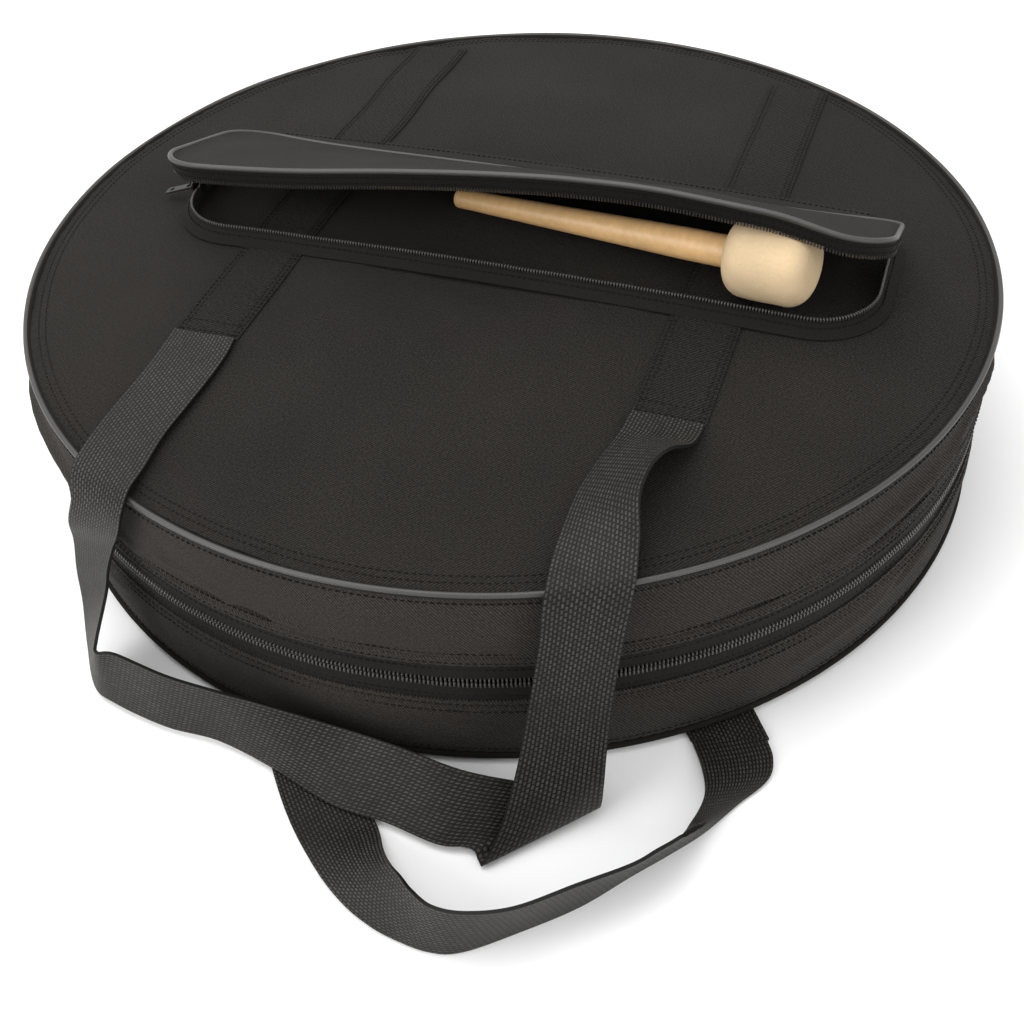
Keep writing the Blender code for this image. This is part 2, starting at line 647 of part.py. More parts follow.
# The lower handle, from its left leg round the front to its right leg: outer edge, inner edge.
BASE_HANDLE = [
    ((-36.4, -295.1, 1.1), (8.2, -280.5, 1.1)),
    ((-27, -307, 1.1), (9.5, -294, 1.1)),
    ((-12, -325, 1.1), (24, -308, 1.1)),
    ((3, -340, 1.1), (38, -323.5, 2.2)),
    ((20, -354, 1.1), (48, -339, 14)),
    ((36, -364, 1.1), (58, -352, 26)),
    ((50, -370, 1.1), (67, -360, 32)),
    ((64, -373.5, 1.1), (75, -367, 36)),
    ((83, -375, 1.1), (87, -373, 38)),
    ((98, -370.5, 1.1), (102, -372, 38.5)),
    ((120, -353, 1.1), (122, -363, 38)),
    ((142, -333, 1.1), (144, -344, 37)),
    ((160, -311, 1.1), (164, -326, 35)),
    ((174, -294.5, 1.1), (173, -314, 33)),
    ((187, -278, 1.1), (181, -301, 29)),
    ((200, -256, 1.1), (182, -284, 15)),
    ((211, -239, 1.1), (184, -262, 9)),
    ((211, -226, 1.1), (178, -242, 3.5)),
    ((205.9, -215.9, 1.1), (169.9, -227.7, 1.1)),
]


def handle_rows(pairs):
    return [[Vector(a) * MM, Vector(b) * MM] for a, b in pairs]


def handles(materials):
    sheet("lid_handle", materials["webbing"], handle_rows(LID_HANDLE), WEBBING_THICK)
    sheet("base_handle", materials["webbing"], handle_rows(BASE_HANDLE), WEBBING_THICK)
    (_, left_toe), (_, right_toe) = base_leg_lines()
    fold = (right_toe - left_toe).normalized()  # the line on which both legs end and the handle lifts
    back = Vector((-fold.y, fold.x, 0)) * 0.9 * MM
    for name, (foot, toe) in zip(("left", "right"), base_leg_lines()):
        along = (toe - foot).normalized()
        aside = Vector((-along.y, along.x, 0))
        half = WEBBING / 2
        stretch = fold / fold.dot(aside)
        height = Vector((0, 0, 1.1 * MM))
        heel = [foot - aside * half + height, foot + aside * half + height]
        end = [toe - stretch * half + back + height, toe + stretch * half + back + height]
        sheet(f"base_handle_leg_{name}", materials["webbing"], [heel, end], WEBBING_THICK)


def pivot(name, point, pieces):
    """An empty on a joint's axis that carries the pieces which move about it."""
    empty = bpy.data.objects.new(name, None)
    empty.location = point
    bpy.context.scene.collection.objects.link(empty)
    for piece in pieces:
        piece.parent = empty
        piece.matrix_parent_inverse = Matrix.Translation(-Vector(point))
    return empty


def pivots():
    """Every joint's pivot, with the lid's pieces carried by the lid and the flap's by the flap."""

    def named(*prefixes):
        return [o for o in bpy.data.objects if o.type != "EMPTY" and o.name.startswith(prefixes)]

    bpy.context.view_layer.update()
    (_, left_toe), (_, right_toe) = base_leg_lines()
    hinge = (0, SHELL_RADIUS + 1.7 * MM, ZIP_HEIGHT)
    lid = pivot("lid_pivot", hinge, named("lid_", "pocket_lip", "pocket_back"))
    upper = pivot("lid_handle_pivot", (0, HANDLE_AXIS_Y, HANDLE_AXIS_Z), [bpy.data.objects["lid_handle"]])
    raised = pivot("flap_pivot", on_lid(0, FLAP_AXIS_Y, FLAP_AXIS_HEIGHT), named("flap_"))
    loose = pivot("beater_pivot", STICK_TIP, named("beater_"))
    corner = Vector((POCKET_X - POCKET_HALF + POCKET_CORNER, POCKET_FRONT + POCKET_CORNER, RIM_HEIGHT))
    small = pivot("pocket_slider_pivot", corner, named("pocket_slider", "pocket_pull"))
    for empty in (upper, raised, loose, small):
        empty.parent = lid
        empty.matrix_parent_inverse = Matrix.Translation(-lid.location)
    middle = (left_toe + right_toe) / 2 + Vector((0, 0, 1.1 * MM))
    pivot("base_handle_pivot", middle, [bpy.data.objects["base_handle"]])
    pivot("main_slider_pivot", (0, 0, ZIP_HEIGHT), named("main_slider", "main_pull"))


def build_materials():
    return {
        "cloth": finish("black_canvas", (0.026, 0.024, 0.022), 0.85),
        "cover": finish("black_strap_cover", (0.020, 0.019, 0.018), 0.85),
        "webbing": finish("black_webbing", (0.024, 0.022, 0.020), 0.7),
        "piping": finish("grey_piping", (0.13, 0.125, 0.12), 0.5),
        "foam": finish("grey_foam", (0.10, 0.10, 0.10), 0.95),
        "lining": finish("black_lining", (0.016, 0.016, 0.017), 0.8),
        "tape": finish("black_zip_tape", (0.018, 0.017, 0.016), 0.85),
        "coil": finish("black_zip_coil", (0.035, 0.033, 0.031), 0.45),
        "metal": finish("black_metal", (0.03, 0.03, 0.03), 0.4, 0.6),
        "wood": finish("light_maple", (0.62, 0.40, 0.20), 0.5),
        "felt": finish("cream_felt", (0.78, 0.64, 0.42), 0.95),
    }


def main():
    clear_scene()
    materials = build_materials()
    base_half(materials)
    lid_half(materials)
    pocket_lip(materials)
    flap(materials)
    beater(materials)
    sliders(materials)
    handles(materials)
    pivots()


main()
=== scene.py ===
"""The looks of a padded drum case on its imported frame: cloth, webbing, zips, piping and the beater.

Every grid of points below is in millimetres, in the frame of the CAD, until mesh_object() writes it.
"""

import math
import random

import bpy
import numpy as np
from bpy.props import FloatProperty, FloatVectorProperty, PointerProperty
from mathutils import Matrix, Vector


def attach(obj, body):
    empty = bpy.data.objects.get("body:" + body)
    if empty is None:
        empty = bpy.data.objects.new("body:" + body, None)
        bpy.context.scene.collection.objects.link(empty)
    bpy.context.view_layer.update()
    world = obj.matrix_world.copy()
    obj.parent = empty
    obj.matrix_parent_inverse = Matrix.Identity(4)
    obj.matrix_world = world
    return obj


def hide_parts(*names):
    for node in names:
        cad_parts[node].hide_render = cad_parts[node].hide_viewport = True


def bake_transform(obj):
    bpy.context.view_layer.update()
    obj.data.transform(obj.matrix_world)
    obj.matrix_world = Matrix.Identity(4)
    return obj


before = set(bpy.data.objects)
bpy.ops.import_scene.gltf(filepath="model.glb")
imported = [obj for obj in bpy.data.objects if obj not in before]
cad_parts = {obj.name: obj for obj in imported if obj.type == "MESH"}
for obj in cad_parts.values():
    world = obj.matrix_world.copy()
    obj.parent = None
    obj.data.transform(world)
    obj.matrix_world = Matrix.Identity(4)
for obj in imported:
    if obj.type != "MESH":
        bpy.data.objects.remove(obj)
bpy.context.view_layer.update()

bl_info = {
    "name": "Padded drum case",
    "version": (1, 0, 0),
    "blender": (4, 5, 0),
    "location": "View3D > Sidebar > Drum case",
    "description": "Builds the cloth, webbing, zips and beater of a padded drum case",
    "category": "Object",
}

# Places that the CAD fixes, in millimetres
LID_EDGE = 123.8
CASE_RADIUS = 280.0
SEAM_RADIUS = 277.8
ZIP_RADIUS = 276.9
ZIP_HEIGHT = 61.0
ZIP_ROW_RADIUS = 277.35
WEBBING_WIDTH = 38.0
STRAP_X = 129.0
COVER_FRONT = -132.8
POCKET_X = 8.0
POCKET_HALF = 206.0
POCKET_FRONT = -42.0
POCKET_CORNER = 36.0
FLAP_AXIS_Y = 66.0
FLAP_AXIS_HEIGHT = 3.4
FLAP_DEPTH = 115.0
FLAP_HALF = 210.0
FLAP_CORNER = 30.0
FLAP_PITCH_AT = (-202, -154, -106, -58, -10, 38, 86, 110, 134, 158, 170, 182, 194, 206, 218)
FLAP_PITCH = (18.5, 21.2, 23.4, 26.3, 28.8, 30.8, 31.8, 31.5, 30.8, 30.3, 29.4, 27.6, 26.2, 25.6, 25.6)
HEAD_CENTRE = Vector((157, -21.4, 154.9))
STICK_TIP = Vector((-39, 22, 137.2))
SLIDER_ANGLE = math.radians(56)

# The angles between which the cloth hinge runs, and the gap that the zip keeps from each
HINGE = (66, 114)
ZIP_END_GAP = 0.4

# Pitch of the pocket zip's teeth, and their size beside the main zip's
POCKET_TEETH = (1.7, 0.85)

# Length along the wall of one degree, for patterns that run round it
ARC_PER_DEGREE = 4.85

# How much deeper than listed the folds are pressed, so that they show in soft light
FOLD_STRENGTH = 1.7

# The camera's place in metres and the way it looks
CAMERA_PLACE = (0.24328, -0.65752, 0.58011)
CAMERA_AHEAD = (-0.25688, 0.67438, -0.69226)
CAMERA_UP = (-0.19385, 0.66578, 0.72052)

# Edge points of the upper handle, from its left leg over the rim, along the floor, round its fold
# and back up to its right leg
LID_HANDLE = [
    ((-147.5, -133.4, 129.4), (-110.5, -133.4, 130.2)),
    ((-146.5, -150, 128.9), (-108.5, -147, 129.9)),
    ((-146, -172, 128.4), (-108, -166, 129.5)),
    ((-147, -197, 127.6), (-109, -190, 128.7)),
    ((-147, -221, 127.0), (-110, -214, 127.9)),
    ((-145, -240, 127.0), (-108, -238, 127.4)),
    ((-143, -249, 124.9), (-107, -254, 127.4)),
    ((-140, -257, 117), (-105.5, -266, 122.5)),
    ((-145, -259, 102), (-110, -267, 110)),
    ((-152, -253, 80), (-119, -264, 94)),
    ((-156, -254, 58), (-126, -265, 77)),
    ((-156, -258, 37), (-130, -267, 62)),
    ((-154, -267, 16), (-132, -283, 42)),
    ((-142, -285, 4), (-129, -289, 39.5)),
    ((-126, -292, 3.6), (-119, -288, 40.5)),
    ((-92, -298, 3.6), (-87, -293.5, 41)),
    ((-62, -298, 3.6), (-58, -295, 41)),
    ((-29, -305, 3.6), (-34, -294, 39)),
    ((10, -317, 3.6), (8, -291, 31)),
    ((40, -319, 3.6), (40, -294, 32)),
    ((68, -323, 3.4), (72, -296, 29)),
    ((81, -321, 3.8), (102, -288, 20)),
    ((86.5, -321.5, 3.6), (129.5, -275.5, 7)),
    ((89.5, -324.5, 1.6), (133, -278.5, 3)),
    ((93, -326.5, 4.4), (137, -281.5, 7)),
    ((98, -312, 18), (138.5, -281, 24)),
    ((101, -293, 45), (139, -277, 47)),
    ((103, -280, 74), (140, -270, 78)),
    ((105, -270, 103), (141.5, -259, 106)),
    ((105.5, -266, 121), (142.5, -251, 121)),
    ((105, -258, 127.6), (142.5, -244, 127.4)),
    ((103, -244, 128), (140.5, -233, 130.5)),
    ((102, -229, 128.6), (138, -221, 136)),
    ((101.5, -206, 129.2), (134.5, -209, 145)),
    ((102.5, -191, 129.9), (134, -199, 148)),
    ((105, -175, 130.4), (135.5, -187, 149)),
    ((107.5, -162, 130.6), (140, -173, 146)),
    ((109.5, -150, 130.6), (146, -156, 135)),
    ((110, -141, 130.5), (147.5, -143, 130.4)),
    ((110.5, -133.4, 130.2), (147.5, -133.4, 129.4)),
]

# Edge points of the lower handle, outer edge first, from its left leg round to its right leg
BASE_HANDLE = [
    ((-36.7, -294.0, 1.1), (7.9, -279.4, 1.1)),
    ((-27, -307, 1.1), (9.5, -294, 1.1)),
    ((-12, -325, 1.1), (24, -308, 1.1)),
    ((3, -340, 1.1), (38, -323.5, 2.2)),
    ((20, -354, 1.1), (48, -339, 14)),
    ((36, -364, 1.1), (58, -352, 26)),
    ((50, -370, 1.1), (67, -360, 32)),
    ((64, -373.5, 1.1), (75, -367, 36)),
    ((83, -375, 1.1), (87, -373, 38)),
    ((98, -370.5, 1.1), (102, -372, 38.5)),
    ((120, -353, 1.1), (122, -363, 38)),
    ((142, -333, 1.1), (144, -344, 37)),
    ((160, -311, 1.1), (164, -326, 35)),
    ((174, -294.5, 1.1), (173, -314, 33)),
    ((187, -278, 1.1), (181, -301, 29)),
    ((200, -256, 1.1), (182, -284, 15)),
    ((211, -239, 1.1), (184, -262, 9)),
    ((211, -226, 1.1), (178, -242, 3.5)),
    ((205.6, -214.9, 1.1), (169.6, -226.7, 1.1)),
]

# Folds pressed into the walls: angle and height where each starts and ends, its width, and how far it
# stands out (or in, below zero)
LID_FOLDS = [
    (-54, 79, -15, 99, 2.2, -3.2),
    (-50, 84, -14, 105, 4.5, 2.4),
    (-34, 78, -9, 90, 2.0, -2.6),
    (-24, 92, -4, 113, 2.0, -3.0),
    (-22, 98, -2, 117, 3.5, 1.8),
    (-18, 84, 4, 100, 2.0, -2.2),
    (-152, 99, -116, 80, 2.4, -3.2),
    (-150, 105, -112, 86, 4.5, 2.6),
    (-142, 88, -122, 79, 1.8, -1.8),
    (-106, 84, -101, 82, 1.2, -1.3),
    (-101, 83, -95, 81, 1.3, -1.4),
    (-97, 88, -91, 84, 2.0, 0.9),
    (-112, 92, -100, 90, 3.0, 0.8),
    (60, 84, 96, 92, 2.5, -1.6),
    (150, 90, 178, 82, 2.5, -1.8),
    (185, 84, 205, 96, 2.5, -1.6),
]
BASE_FOLDS = [
    (-148, 40, -128, 22, 3.0, -1.6),
    (-140, 43, -118, 33, 4.0, 1.2),
    (-30, 30, -4, 42, 2.5, -1.4),
    (-44, 24, -18, 34, 4.0, 1.0),
    (40, 30, 70, 22, 3.0, -1.2),
    (120, 36, 150, 26, 3.0, -1.4),
]


class CaseSizes(bpy.types.PropertyGroup):
    ring_radius: FloatProperty(
        name="Ring radius", description="Centre line of the rim's piping", default=0.2778, unit="LENGTH"
    )
    crown: FloatProperty(
        name="Crown", description="Rise of the lid's middle over its edge", default=0.008, unit="LENGTH"
    )
    dents: FloatProperty(
        name="Dents", description="Depth of the unevenness of the padding", default=0.0009, unit="LENGTH"
    )
    tooth_pitch: FloatProperty(
        name="Tooth pitch", description="Distance between the main zip's teeth", default=0.0021, unit="LENGTH"
    )
    stitch_pitch: FloatProperty(
        name="Stitch pitch", description="Distance between stitches", default=0.0034, unit="LENGTH"
    )
    camera_lens: FloatProperty(
        name="Lens", description="Focal length of the camera, in millimetres", default=49.22
    )


class CaseColours(bpy.types.PropertyGroup):
    canvas: FloatVectorProperty(
        name="Canvas", description="Cloth of the case", default=(0.0138, 0.0119, 0.0104), subtype="COLOR"
    )
    cover: FloatVectorProperty(
        name="Strap cover",
        description="Cloth over the straps",
        default=(0.0120, 0.0106, 0.0094),
        subtype="COLOR",
    )
    webbing: FloatVectorProperty(
        name="Webbing", description="Yarn of the handles", default=(0.048, 0.043, 0.038), subtype="COLOR"
    )
    piping: FloatVectorProperty(
        name="Piping", description="Piping round the rim", default=(0.036, 0.034, 0.031), subtype="COLOR"
    )
    maple: FloatVectorProperty(
        name="Maple", description="The beater's stick", default=(0.66, 0.41, 0.185), subtype="COLOR"
    )
    felt: FloatVectorProperty(
        name="Felt", description="The beater's head", default=(0.58, 0.435, 0.265), subtype="COLOR"
    )
    floor: FloatVectorProperty(
        name="Floor", description="The studio floor", default=(0.90, 0.90, 0.90), subtype="COLOR"
    )


def sizes():
    return bpy.context.scene.drum_case_sizes


def colours():
    return bpy.context.scene.drum_case_colours


# ---------------------------------------------------------------- shapes


def unit(vectors):
    return vectors / np.maximum(np.linalg.norm(vectors, axis=-1, keepdims=True), 1e-9)


def run_length(path):
    """The length along a path from its start to each of its points."""
    return np.concatenate([[0], np.cumsum(np.linalg.norm(np.diff(path, axis=0), axis=1))])


def grid_faces(n, m):
    """The four-cornered faces of a grid of n rows of m points."""
    index = np.arange(n * m).reshape(n, m)
    return np.stack([index[:-1, :-1], index[:-1, 1:], index[1:, 1:], index[1:, :-1]], axis=2).reshape(-1, 4)


def ripple(x, y, wavelength, seed):
    """Soft unevenness from about -1 to 1, the same on every run."""
    dice = random.Random(seed)
    total = 0.0
    for _ in range(8):
        turn = dice.uniform(0, 2 * math.pi)
        size = wavelength * dice.uniform(0.6, 1.7)
        phase = dice.uniform(0, 2 * math.pi)
        total = total + np.sin((x * math.cos(turn) + y * math.sin(turn)) * 2 * math.pi / size + phase)
    return total / 4


def lid_plain(x, y):
    """Height of the lid's cloth before its dents."""
    return LID_EDGE + sizes().crown * 1000 * (1 - (x * x + y * y) / CASE_RADIUS**2)


def lid_cloth(x, y):
    """Height of the lid's cloth with its dents and the puckers along its seam."""
    depth = sizes().dents * 1000
    radius = np.hypot(x, y)
    angle = np.arctan2(y, x)
    dents = depth * (0.75 * ripple(x, y, 120, 4) + 0.35 * ripple(x, y, 46, 5)) - 0.75 * depth
    for cx, cy, wide, deep in (
        (-150, -205, 26, 1.6),
        (-95, -228, 24, 1.2),
        (20, -90, 60, 1.0),
        (180, 150, 45, 1.3),
        (-205, 60, 34, 1.2),
        (60, 215, 40, 1.4),
    ):
        dents = dents - deep * np.exp(-(((x - cx) ** 2 + (y - cy) ** 2) / wide**2))
    seam = np.clip((radius - 262) / 13, 0, 1) ** 2
    puckers = seam * (-1.0 + 0.22 * np.sin(angle * 190) + 0.3 * ripple(angle * 275, radius * 0, 30, 9))
    return np.minimum(lid_plain(x, y) + dents + puckers, lid_plain(x, y) + 0.15)


def on_lid(x, y, above):
    return np.array([x, y, lid_plain(x, y) + above])


def fold_depth(folds, degrees, height):
    """How far the folds move the wall out at each angle and height."""
    total = np.zeros(np.broadcast(degrees, height).shape)
    for start, low, end, high, wide, out in folds:
        share = (degrees - start) / (end - start)
        middle = low + (high - low) * share + 2.0 * np.sin(share * math.pi)
        window = np.clip(np.minimum(share, 1 - share) * 4, 0, 1)
        window = window * window * (3 - 2 * window)
        total = total + FOLD_STRENGTH * out * window * np.exp(-(((height - middle) / wide) ** 2))
    return total


def catmull(points, per):
    """A smooth curve through points, with `per` steps between each pair."""
    points = np.asarray(points, float)
    padded = np.concatenate([2 * points[:1] - points[1:2], points, 2 * points[-1:] - points[-2:-1]])
    out = []
    for i in range(len(points) - 1):
        a, b, c, d = padded[i : i + 4]
        for t in np.arange(per) / per:
            out.append(
                0.5
                * (2 * b + (c - a) * t + (2 * a - 5 * b + 4 * c - d) * t**2 + (3 * b - a - 3 * c + d) * t**3)
            )
    out.append(points[-1])
    return np.array(out)


def resample(path, pitch, *others):
    """A path and the directions that go with it, at even steps along its length."""
    path = np.asarray(path, float)
    length = run_length(path)
    count = max(int(length[-1] / pitch), 2)
    at = (np.arange(count) + 0.5) * length[-1] / count
    out = []
    for values in (path, *others):
        values = np.broadcast_to(np.asarray(values, float), path.shape)
        out.append(np.stack([np.interp(at, length, values[:, k]) for k in range(3)], axis=1))
    return out


def mesh_object(name, points, faces, material, uvs=None, sharp=50):
    mesh = bpy.data.meshes.new(name)
    mesh.from_pydata((np.asarray(points, float) / 1000).tolist(), [], np.asarray(faces).tolist())
    if uvs is not None:
        layer = mesh.uv_layers.new(name="Cloth")
        corner = np.zeros(len(mesh.loops), int)
        mesh.loops.foreach_get("vertex_index", corner)
        layer.data.foreach_set("uv", (np.asarray(uvs, float)[corner] / 1000).ravel())
    mesh.materials.append(material)
    mesh.shade_smooth()
    mesh.set_sharp_from_angle(angle=math.radians(sharp))
    piece = bpy.data.objects.new(name, mesh)
    bpy.context.scene.collection.objects.link(piece)
    return piece


def skin(name, outer, thick, material, ring=False, plan=False, uv=None, sharp=50):
    """Cloth through a grid of points, closed on its underside; a ring meets itself at its first row."""
    outer = np.asarray(outer, float)
    if ring:
        wrapped = np.concatenate([outer[-1:], outer, outer[:1]])
        ahead = wrapped[2:] - wrapped[:-2]
    else:
        ahead = np.gradient(outer, axis=0)
    inner = outer - unit(np.cross(np.gradient(outer, axis=1), ahead)) * thick
    if ring:
        outer = np.concatenate([outer, outer[:1]])
        inner = np.concatenate([inner, inner[:1]])
    n, m = outer.shape[:2]
    if plan:
        uv = outer[..., :2]
    elif uv is None:
        along = np.linalg.norm(np.diff(outer, axis=0), axis=2).mean(axis=1)
        across = np.linalg.norm(np.diff(outer, axis=1), axis=2).mean(axis=0)
        grid = np.meshgrid(np.concatenate([[0], np.cumsum(across)]), np.concatenate([[0], np.cumsum(along)]))
        uv = np.stack(grid, axis=2)
    front = np.arange(n * m).reshape(n, m)
    back = front + n * m
    quads = [
        np.stack([front[:-1, :-1], front[:-1, 1:], front[1:, 1:], front[1:, :-1]], axis=2),
        np.stack([back[:-1, :-1], back[1:, :-1], back[1:, 1:], back[:-1, 1:]], axis=2),
        np.stack([front[:-1, 0], front[1:, 0], back[1:, 0], back[:-1, 0]], axis=1),
        np.stack([front[1:, -1], front[:-1, -1], back[:-1, -1], back[1:, -1]], axis=1),
    ]
    if not ring:
        quads.append(np.stack([front[0, 1:], front[0, :-1], back[0, :-1], back[0, 1:]], axis=1))
        quads.append(np.stack([front[-1, :-1], front[-1, 1:], back[-1, 1:], back[-1, :-1]], axis=1))
    faces = np.concatenate([q.reshape(-1, 4) for q in quads])
    points = np.concatenate([outer.reshape(-1, 3), inner.reshape(-1, 3)])
    uvs = np.concatenate([uv.reshape(-1, 2)] * 2)
    return mesh_object(name, points, faces, material, uvs, sharp)


def round_cord(name, path, up, radius, material, sides=12):
    """A round cord along a closed path; up is any direction that isn't along it."""
    path = np.asarray(path, float)
    ahead = unit(np.roll(path, -1, 0) - np.roll(path, 1, 0))
    side = unit(np.cross(ahead, np.broadcast_to(np.asarray(up, float), path.shape)))
    over = np.cross(side, ahead)
    turns = np.linspace(0, 2 * math.pi, sides + 1)
    grid = path[:, None] + radius * (
        np.cos(turns)[None, :, None] * side[:, None] + np.sin(turns)[None, :, None] * over[:, None]
    )
    grid = np.concatenate([grid, grid[:1]])
    uvs = np.stack(np.meshgrid(turns * radius, run_length(grid[:, 0])), axis=2)
    faces = grid_faces(*grid.shape[:2])
    return mesh_object(name, grid.reshape(-1, 3), faces, material, uvs.reshape(-1, 2))


def repeated(name, centres, axes, shape, faces, material, sharp=50):
    """One small shape set at each centre, on the three axes that it has there."""
    shape = np.asarray(shape, float)
    points = centres[:, None] + sum(shape[None, :, k, None] * axes[k][:, None] for k in range(3))
    step = np.arange(len(centres))[:, None, None] * len(shape)
    faces = (np.asarray(faces)[None] + step).reshape(-1, 4)
    uvs = np.tile(shape[:, :2], (len(centres), 1))
    return mesh_object(name, points.reshape(-1, 3), faces, material, uvs, sharp)


STITCH = [
    (x * s, y * s, z) for z, s in ((-0.3, 1.0), (0.32, 0.62)) for x, y in ((-1, -1), (1, -1), (1, 1), (-1, 1))
]
STITCH_FACES = [(0, 1, 5, 4), (1, 2, 6, 5), (2, 3, 7, 6), (3, 0, 4, 7), (4, 5, 6, 7)]


def stitch_rows(name, rows, material):
    """Rows of stitches, each a path on the cloth and the cloth's outward direction along it."""
    centres, axes = [], [[], [], []]
    for path, up in rows:
        at, over = resample(path, sizes().stitch_pitch * 1000, up)
        ahead, over = unit(np.gradient(at, axis=0)), unit(over)
        side = np.cross(over, ahead)
        centres.append(at)
        for k, axis in enumerate((ahead * 1.15, side * 0.34, over)):
            axes[k].append(axis)
    return repeated(
        name, np.concatenate(centres), [np.concatenate(a) for a in axes], STITCH, STITCH_FACES, material
    )


TOOTH = [
    (x * w, y, h)
    for y, w, h in (
        (-1.5, 0.55, 0.35),
        (-1.1, 0.6, 1.2),
        (0.4, 0.62, 1.35),
        (1.15, 0.66, 0.9),
        (1.35, 0.5, 0.2),
    )
    for x, h in ((-1.0, -0.4), (-0.62, h), (0.62, h), (1.0, -0.4))
]
TOOTH_FACES = [
    (4 * i + a, 4 * i + 4 + a, 4 * i + 4 + b, 4 * i + b)
    for i in range(4)
    for a, b in ((0, 1), (1, 2), (2, 3))
] + [(0, 1, 2, 3), (19, 18, 17, 16)]


def teeth(name, path, reach, out, pitch, material, size=1.0):
    """The turns of a zip's coil along the edge of its tape; reach points from the tape to their tips."""
    at, tip, over = resample(path, pitch, reach, out)
    axes = [unit(np.gradient(at, axis=0)) * size, unit(tip) * size, unit(over) * size]
    return repeated(name, at, axes, TOOTH, TOOTH_FACES, material)


def wall_ring(degrees, radius, height):
    """Points round the case at one radius and height, or at one of each for every angle."""
    turn = np.radians(degrees)
    radius = np.broadcast_to(radius, turn.shape)
    height = np.broadcast_to(height, turn.shape)
    return np.stack([radius * np.cos(turn), radius * np.sin(turn), height], axis=-1)


def put(piece, body, slot, *nodes):
    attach(piece, body)
    if nodes:
        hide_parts(*nodes)
    return piece


# ---------------------------------------------------------------- materials


def spread(nodes, step=(190, -170), rows=4):
    """Sets the nodes out on the node editor's grid."""
    for i, node in enumerate(n for n in nodes if n.type != "FRAME"):
        node.location = (step[0] * (i // rows), step[1] * (i % rows))


